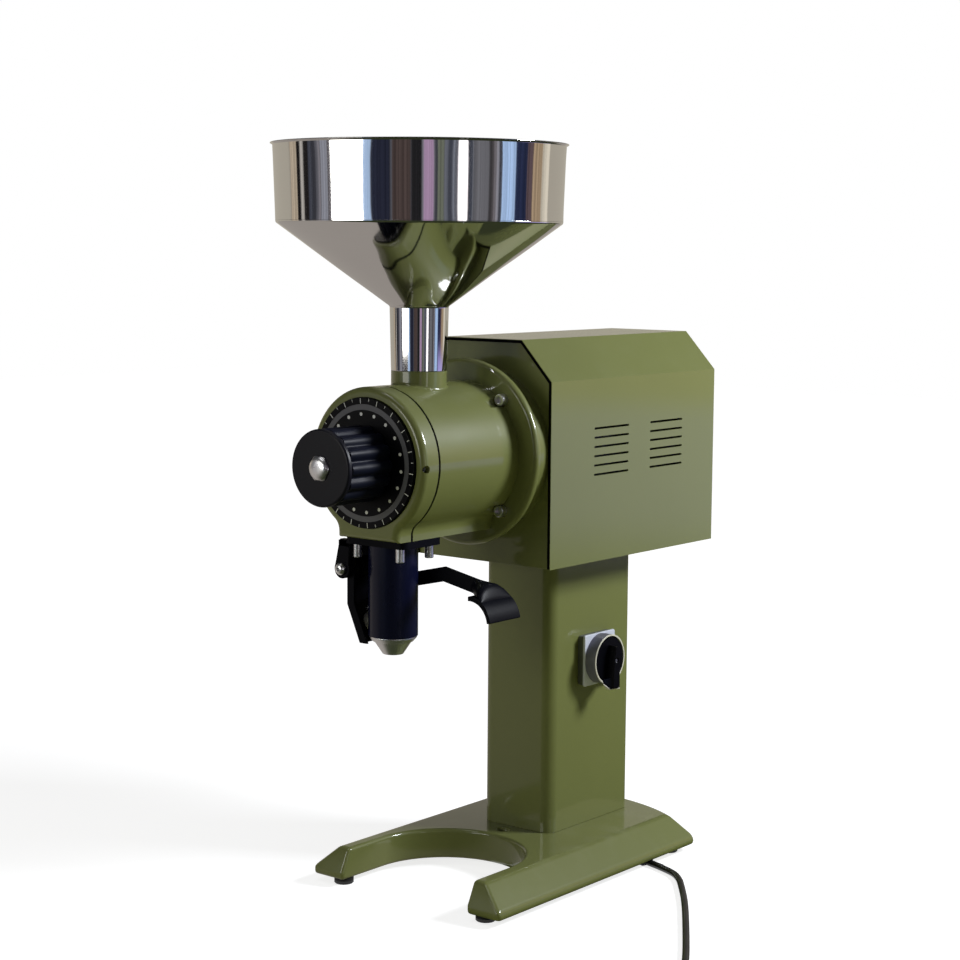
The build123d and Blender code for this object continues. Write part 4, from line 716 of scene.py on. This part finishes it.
def domed_nut(flats, low, high, top, corner=1.09, crown=0.98, count=96):
    """Hexagon of the given width across flats under a low dome. A cone cuts its corners: its radius falls
    from corner to crown, in halves of that width."""
    angle = np.linspace(0, 2 * math.pi, count + 1)
    angle[-1] = 0.0
    inner = flats / 2
    hexagon = inner / np.cos(angle % (math.pi / 3) - math.pi / 6)
    wide = np.minimum(hexagon, inner * corner)
    rows = [(0.0 * angle, low), (wide, low), (wide, low + (high - low) * 0.6)]
    for share in np.linspace(0.15, 1, 6):
        cone = inner * (corner - (corner - crown) * share)
        rows.append((np.minimum(hexagon, cone), low + (high - low) * (0.6 + 0.4 * share ** 1.5)))
    rows += [(inner * crown * np.cos(t) ** 0.7 + 0.0 * angle, high + (top - high) * np.sin(t))
             for t in np.linspace(0, math.pi / 2, 10)[1:-1]]
    rows.append((0.0 * angle, top))
    radius = np.array([r for r, _ in rows])
    level = np.array([np.full_like(angle, h) for _, h in rows])
    return np.stack([radius * np.cos(angle), level, radius * np.sin(angle)], axis=-1)


skin("dome_nut", [domed_nut(24.5, CAP_FRONT, -291.9, -295.4) + HEAD_AXIS], "adjuster", satin_steel,
     "chrome", ["knob_nut"], 28)

# ---------------------------------------------------------------- dial with its marks
DIAL_BACK, DIAL_FLOOR, DISC_BACK, DIAL_FRONT = -212.0, -221.8, -221.7, -222.5
DIAL_TURN = 14.3
LONG_TICK, SHORT_TICK = (62.4, 0.42), (65.0, 0.30)        # inner radius and half width
TICK_OUT, DOT_RING, DOT_RADIUS = 68.0, 51.5, 1.9
spun("dial_rim", [(8.1, DIAL_BACK), (68.6, DIAL_BACK, 0.3), (68.6, DIAL_FRONT, 0.8), (61.8, DIAL_FRONT, 0.2),
                  (61.8, DIAL_FLOOR), (8.1, DIAL_FLOOR), (8.1, DIAL_BACK)],
     HEAD_AXIS, "y", 192, "adjuster", dial_black, "black_plastic", ["grind_dial"])
spun("dial_track", [(55.6, DISC_BACK), (61.9, DISC_BACK), (61.9, -222.1, 0.1), (55.6, -222.1)],
     HEAD_AXIS, "y", 192, "adjuster", dial_grey, "grey_plastic")
spun("dial_disc", [(8.2, DISC_BACK), (55.8, DISC_BACK), (55.8, DIAL_FRONT, 0.4), (8.2, DIAL_FRONT)],
     HEAD_AXIS, "y", 192, "adjuster", dial_black, "black_plastic")


def dial_tick(number):
    """Thin raised bar on the rim, every ten degrees and every second one long."""
    turn = math.radians(10 * number + DIAL_TURN)
    inner, half = SHORT_TICK if number % 2 else LONG_TICK
    flat = np.array([(inner, -half), (TICK_OUT, -half), (TICK_OUT, half), (inner, half), (inner, -half)])
    flat = flat @ np.array([[math.cos(turn), math.sin(turn)], [-math.sin(turn), math.cos(turn)]])
    low = np.stack([flat[:, 0], np.full(5, DIAL_FRONT + 0.02), flat[:, 1]], axis=1)
    return np.concatenate([low[None], fan(low - (0, 0.10, 0))]) + HEAD_AXIS


def dial_dot(number):
    """Round painted dot on the dial's disc, in line with a long tick."""
    turn = math.radians(20 * number + DIAL_TURN)
    sunk, proud = DIAL_FRONT + 0.05, DIAL_FRONT - 0.06
    return turned([(DOT_RADIUS, sunk), (DOT_RADIUS, proud), (0.0, proud)],
                  (DOT_RING * math.cos(turn), 0, AXIS_Z + DOT_RING * math.sin(turn)), "y", 20)


skin("dial_ticks", [dial_tick(number) for number in range(36)], "adjuster", mark_paint, "light_plastic")
skin("dial_dots", [dial_dot(number) for number in range(18)], "adjuster", mark_paint, "light_plastic")

# ---------------------------------------------------------------- screws
flange_head = soften([(0.0, -65.5), (3.4, -65.5), (3.4, -69.0, 0.2), (4.2, -69.5, 0.2), (5.9, -69.5, 0.5),
                      (6.5, -68.7, 0.3), (6.5, -61.5)])
flange_places = [(x, 0, AXIS_Z + z) for x in (57.5, -57.5) for z in (60.5, -60.5)]
skin("flange_socket_screws", [turned(flange_head, place, "y", 36) for place in flange_places], "frame",
     screw_steel, "screw_steel", ["flange_screws"])


def knurl(angle, height):
    """Fine vertical knurling on a screw head."""
    return 0.12 * np.cos(36 * angle) * (np.abs(height - 393.5) < 6.5)


spout_head = soften([(0.0, 389.5), (2.6, 389.5), (2.6, 385.5, 0.2), (4.3, 385.5, 0.4), (4.8, 386.3, 0.3),
                     (4.75, PLATE_LOW), (0.0, PLATE_LOW)])
spout_places = [(x, TUBE_Y + y, 0) for x in (-30, 30) for y in (-23.5, 23.5)]
skin("spout_socket_screws", [turned(spout_head, place, "z", 72, knurl) for place in spout_places], "frame",
     screw_steel, "screw_steel", ["spout_screws"])
spun("side_set_screw", [(0.0, 73.2), (1.9, 73.2), (1.9, 75.6, 0.2), (3.1, 75.9, 0.3), (3.9, 75.2, 0.3),
                        (3.9, 70.6), (0.0, 70.6)], (-1.6, -214.0, 488.5), "x", 36,
     "frame", turned_steel, "screw_steel", ["ring_set_screw"])
spun("pivot_bolt", [(0.0, -143.6), (6.2, -143.6, 0.8), (6.2, -147.4, 0.3), (4.0, -147.5), (4.0, -206.5),
                    (6.5, -206.5, 0.2), (6.4, -209.5, 1.0), (4.6, -212.3, 2.0), (2.2, -212.9, 0.2),
                    (2.2, -210.5), (0.0, -210.5)], PIVOT_AXIS, "y", 48,
     "frame", screw_steel, "screw_steel", ["clamp_pivot_bolt"])
dressed("clamp_pad", pad_rubber, 0.5, 3)

# ---------------------------------------------------------------- switch
GUARD_IN, GUARD_OUT = 27.3, 29.3
# The guard's last 0.7 mm, up to its top, is a cream band: a painted highlight along its front rim.
GUARD_FOOT, GUARD_HIGHLIGHT_LOW, GUARD_TOP = 60.5, 74.3, 75.0
dressed("switch_box", dark_moulded, 0.6)
dressed("switch_plate", pale_moulded, 0.5)
spun("switch_guard", [(GUARD_IN, GUARD_FOOT), (GUARD_OUT, GUARD_FOOT, 0.2), (GUARD_OUT, GUARD_HIGHLIGHT_LOW),
                      (GUARD_IN, GUARD_HIGHLIGHT_LOW), (GUARD_IN, GUARD_FOOT)], SWITCH_AXIS, "x", 96,
     "frame", violet_moulded, "grey_plastic", ["switch_collar"])
# Painted highlight: a cream band round the guard's front edge.
spun("switch_guard_highlight_rim", [(GUARD_IN, GUARD_HIGHLIGHT_LOW), (GUARD_OUT, GUARD_HIGHLIGHT_LOW), (GUARD_OUT, GUARD_TOP, 0.5),
                          (GUARD_IN, GUARD_TOP, 0.5), (GUARD_IN, GUARD_HIGHLIGHT_LOW)], SWITCH_AXIS, "x", 96,
     "frame", cream_and_highlight_moulded, "light_plastic")
dressed("switch_knob", dial_black, 1.2, 3)


def heel_strip(plan, fronts):
    """Closed strip of the pointer, clear of the guard: a plan of (across, up) points round the switch's axis,
    each with its own front height."""
    plan = np.array([*plan, plan[0]], float) + (SWITCH_Y, SWITCH_Z)
    back = np.column_stack([np.full(len(plan), GUARD_TOP + 0.2), plan])
    front = np.column_stack([np.array([*fronts, fronts[0]], float), plan])
    return [np.stack([back, front]), fan(back), fan(front)]


HEEL_LIP = [(-13.6, -26.4), (-7.2, -33.3), (6.9, -33.3), (6.9, -34.1), (-7.6, -34.1), (-14.2, -27.0)]
skin("switch_heel_lip", heel_strip(HEEL_LIP, (75.9, 81.0, 84.6, 84.6, 81.0, 75.9)), "switch", cream_and_highlight_moulded,
     "light_plastic")
HEEL_WEB = [(-13.4, -26.0), (-13.4, -22.0), (-5.9, -20.0), (-6.1, -33.2), (-7.2, -33.2)]
skin("switch_heel_web", heel_strip(HEEL_WEB, (75.9, 75.9, 82.0, 82.0, 81.0)), "switch", black_gloss,
     "black_gloss")

# ---------------------------------------------------------------- nodes that stay as they are, with finishes
for material, names in (
        (dark_casting, "base_cover chassis_plate motor_front_shield motor_rear_shield run_capacitor"),
        (black_rubber, "rubber_feet"), (gasket_and_gap_shade_black, "head_gasket"), (turned_bronze, "adjuster_bush"),
        (turned_steel,
         "adjusting_spindle stationary_burr rotating_burr drive_shaft head_bearing clamp_spring"),
        (grey_iron, "burr_carrier burr_hub feed_screw motor_stator motor_rotor"),
        (screw_steel, "hub_nut switch_screw"), (black_matt, "motor_fan")):
    for node in names.split():
        nodes[node].data.materials.clear()
        nodes[node].data.materials.append(material)


# ---------------------------------------------------------------- studio: floor, mirrored room, world, lamps
def stage_mesh(name, grid, material):
    """A piece of the studio from one grid in metres."""
    mesh = mesh_of_grids(name, [grid])
    mesh.materials.append(material)
    thing = set_out(name, mesh)
    return thing


def seen_directly(tree):
    """1 for camera, glossy and transmission rays."""
    rays = put(tree, "LightPath").outputs
    return calc(tree, "MAXIMUM", rays["Is Camera Ray"],
                calc(tree, "MAXIMUM", rays["Is Glossy Ray"], rays["Is Transmission Ray"]))


def floor_material():
    """Pale floor: plain diffuse for the light it throws back, and white with the object's shadow where it is
    seen."""
    made, tree = blank_material("studio_floor")
    near = ramp(tree, length_of(tree, put(tree, "TexCoord").outputs["Object"]), 2.2, 0.9)
    glow = put(tree, "Emission", None, Strength=calc(tree, "MULTIPLY_ADD", near, -0.21, 1.0))
    lit = put(tree, "BsdfDiffuse", None, Color=(0.55, 0.55, 0.55, 1.0))
    plain = put(tree, "BsdfDiffuse", None, Color=(0.50, 0.50, 0.25, 1.0))
    both = put(tree, "AddShader")
    pick = put(tree, "MixShader", None, Fac=seen_directly(tree))
    for shader, socket in ((glow, both.inputs[0]), (lit, both.inputs[1]), (plain, pick.inputs[1]),
                           (both, pick.inputs[2])):
        tree.links.new(shader.outputs[0], socket)
    give_out(tree, pick)
    return made


FLOOR_HALF, FLOOR_POINTS = 7.0, 9
along = np.linspace(-FLOOR_HALF, FLOOR_HALF, FLOOR_POINTS)
floor_grid = np.stack([*np.meshgrid(along, along, indexing="ij"), np.zeros((FLOOR_POINTS,) * 2)], axis=-1)
stage_mesh("floor", floor_grid, floor_material())

# The room's bands: bearing in degrees from +X towards +Y, half width in degrees, colour
BANDS = [
    (130.0, 62.0, (0.46, 0.425, 0.355)), (-162.5, 4.5, (0.54, 0.45, 0.34)),
    (-155.2, 1.6, (0.01, 0.01, 0.01)), (-150.5, 2.0, (0.55, 0.52, 0.48)),
    (-146.0, 2.2, (0.02, 0.018, 0.018)), (-127.0, 3.0, (0.30, 0.31, 0.36)),
    (-91.0, 4.0, (0.55, 0.74, 1.05)), (-79.0, 6.0, (0.022, 0.025, 0.045)),
    (-64.0, 6.5, (0.085, 0.062, 0.058)), (-53.0, 3.5, (0.02, 0.02, 0.022)),
    (-44.2, 3.0, (0.50, 0.34, 0.52)), (-35.0, 2.0, (0.20, 0.22, 0.17)),
    (-18.2, 3.0, (2.4, 2.3, 2.35)), (-4.0, 6.0, (0.19, 0.19, 0.21)),
    (21.0, 6.3, (0.50, 0.70, 1.05)), (34.0, 6.0, (0.022, 0.03, 0.075)),
    (44.0, 3.2, (0.13, 0.09, 0.10)), (53.5, 6.0, (0.46, 0.34, 0.22)),
    (64.5, 5.0, (0.85, 0.78, 0.64)),
]
ROOM_RADIUS, ROOM_TOP, ROOM_LOW, ROOM_MIDDLE = 4.6, 3.2, 0.004, 0.01
GROUND_PALE, GROUND_DARK = (0.36, 0.33, 0.30, 1.0), (0.035, 0.042, 0.020, 1.0)
LOW_BLUE, CEILING = (0.48, 0.43, 0.88, 1.0), (0.04, 0.04, 0.042, 1.0)


def room_material():
    """What polished pieces mirror. Streaky upright walls carry the bands, plainer on one side. The ground is
    dark on one side, a low blue band lies far off on it, and the ceiling is dark."""
    made, tree = blank_material("studio_room")
    spot = put(tree, "TexCoord").outputs["Object"]
    part = put(tree, "SeparateXYZ", None, Vector=spot).outputs
    level = part["Z"]
    bearing = calc(tree, "ARCTAN2", part["Y"], part["X"])
    east, north = calc(tree, "COSINE", bearing), calc(tree, "SINE", bearing)
    ring = put(tree, "CombineXYZ", None, X=east, Y=north).outputs[0]

    def around_bearing(centre, inner, outer):
        """1 within inner degrees of a bearing, eased to 0 at outer."""
        off = calc(tree, "WRAP", calc(tree, "SUBTRACT", bearing, math.radians(centre)), math.pi, -math.pi)
        return ramp(tree, calc(tree, "ABSOLUTE", off), math.radians(outer), math.radians(inner))

    streak = noise(tree, ring, 9.0, 5.0, 0.65)
    tint = noise(tree, ring, 3.0, 1.0)
    dim = blend_colours(tree, ramp(tree, tint, 0.35, 0.65), (0.05, 0.045, 0.045, 1), (0.05, 0.055, 0.075, 1))
    light = blend_colours(tree, ramp(tree, tint, 0.4, 0.6), (0.30, 0.27, 0.29, 1), (0.28, 0.30, 0.36, 1))
    colour = blend_colours(tree, ramp(tree, streak, 0.42, 0.66), dim, light)
    for centre, half, tone in BANDS:
        colour = blend_colours(tree, around_bearing(centre, half, half + 1.0), colour, (*tone, 1.0))
    fine = ramp(tree, noise(tree, ring, 34.0, 5.0, 0.7), 0.3, 0.7, 0.45, 1.3)
    plain = around_bearing(128.0, 60, 66)
    streaky = calc(tree, "MULTIPLY_ADD", calc(tree, "SUBTRACT", 1.0, fine), plain, fine)
    grey = put(tree, "CombineColor", None, Red=streaky, Green=streaky, Blue=streaky)
    colour = blend_colours(tree, 1.0, colour, grey.outputs[0], "MULTIPLY")
    ground = blend_colours(tree, around_bearing(-8.0, 97, 125), GROUND_PALE, GROUND_DARK)
    colour = blend_colours(tree, ramp(tree, level, 0.02, 0.01), colour, ground)
    far = ramp(tree, length_of(tree, spot), 1.8, 3.4)
    low_far = calc(tree, "MULTIPLY", calc(tree, "MULTIPLY", far, around_bearing(52.0, 15, 27)),
                   ramp(tree, level, 0.24, 0.14))
    colour = blend_colours(tree, low_far, colour, LOW_BLUE)
    colour = blend_colours(tree, ramp(tree, level, 1.2, 1.9), colour, CEILING)
    give_out(tree, put(tree, "Emission", None, Color=colour, Strength=1.0))
    return made


around = np.radians(np.arange(0, 361, 3))[None, :]
wall_r = np.array([ROOM_MIDDLE, ROOM_RADIUS, ROOM_RADIUS, ROOM_MIDDLE])[:, None]
wall_z = np.array([ROOM_LOW, ROOM_LOW, ROOM_TOP, ROOM_TOP])[:, None]
room_grid = np.stack([wall_r * np.cos(around), wall_r * np.sin(around), wall_z * np.ones_like(around)],
                     axis=-1)
room = stage_mesh("reflection_room", room_grid, room_material())
for ray in ("camera", "diffuse", "transmission", "volume_scatter", "shadow"):
    setattr(room, "visible_" + ray, False)


def white_world(ambient):
    """White where it is seen, and a plain even level where it only lights."""
    world = bpy.data.worlds.new("white_studio")
    bpy.context.scene.world = world
    world.use_nodes = True
    tree = world.node_tree
    tree.nodes.clear()
    strength = calc(tree, "MULTIPLY_ADD", seen_directly(tree), 1.0 - ambient, ambient)
    give_out(tree, put(tree, "Background", None, Color=WHITE, Strength=strength), "OutputWorld")


white_world(0.053)


def lamp(name, spot, target, size, power, colour=(1.0, 1.0, 1.0)):
    """A rectangular lamp at a spot, aimed at a target."""
    data = bpy.data.lights.new(name, "AREA")
    data.shape = "RECTANGLE"
    data.size, data.size_y = size
    data.energy = power
    data.color = colour
    aim = (Vector(target) - Vector(spot)).to_track_quat("-Z", "Y")
    set_out(name, data).matrix_world = Matrix.Translation(spot) @ aim.to_matrix().to_4x4()


lamp("window_key", (1.35, 0.95, 1.35), (0, 0, 0.5), size=(0.5, 0.45), power=39.0, colour=(0.95, 0.98, 1.04))
lamp("soft_top", (-0.2, -0.8, 2.7), (0, 0, 0.3), size=(1.4, 1.4), power=9.0)
lamp("soft_front", (-0.5, -1.9, 0.7), (0, 0, 0), size=(0.9, 0.6), power=7.0, colour=(1.0, 0.99, 0.92))
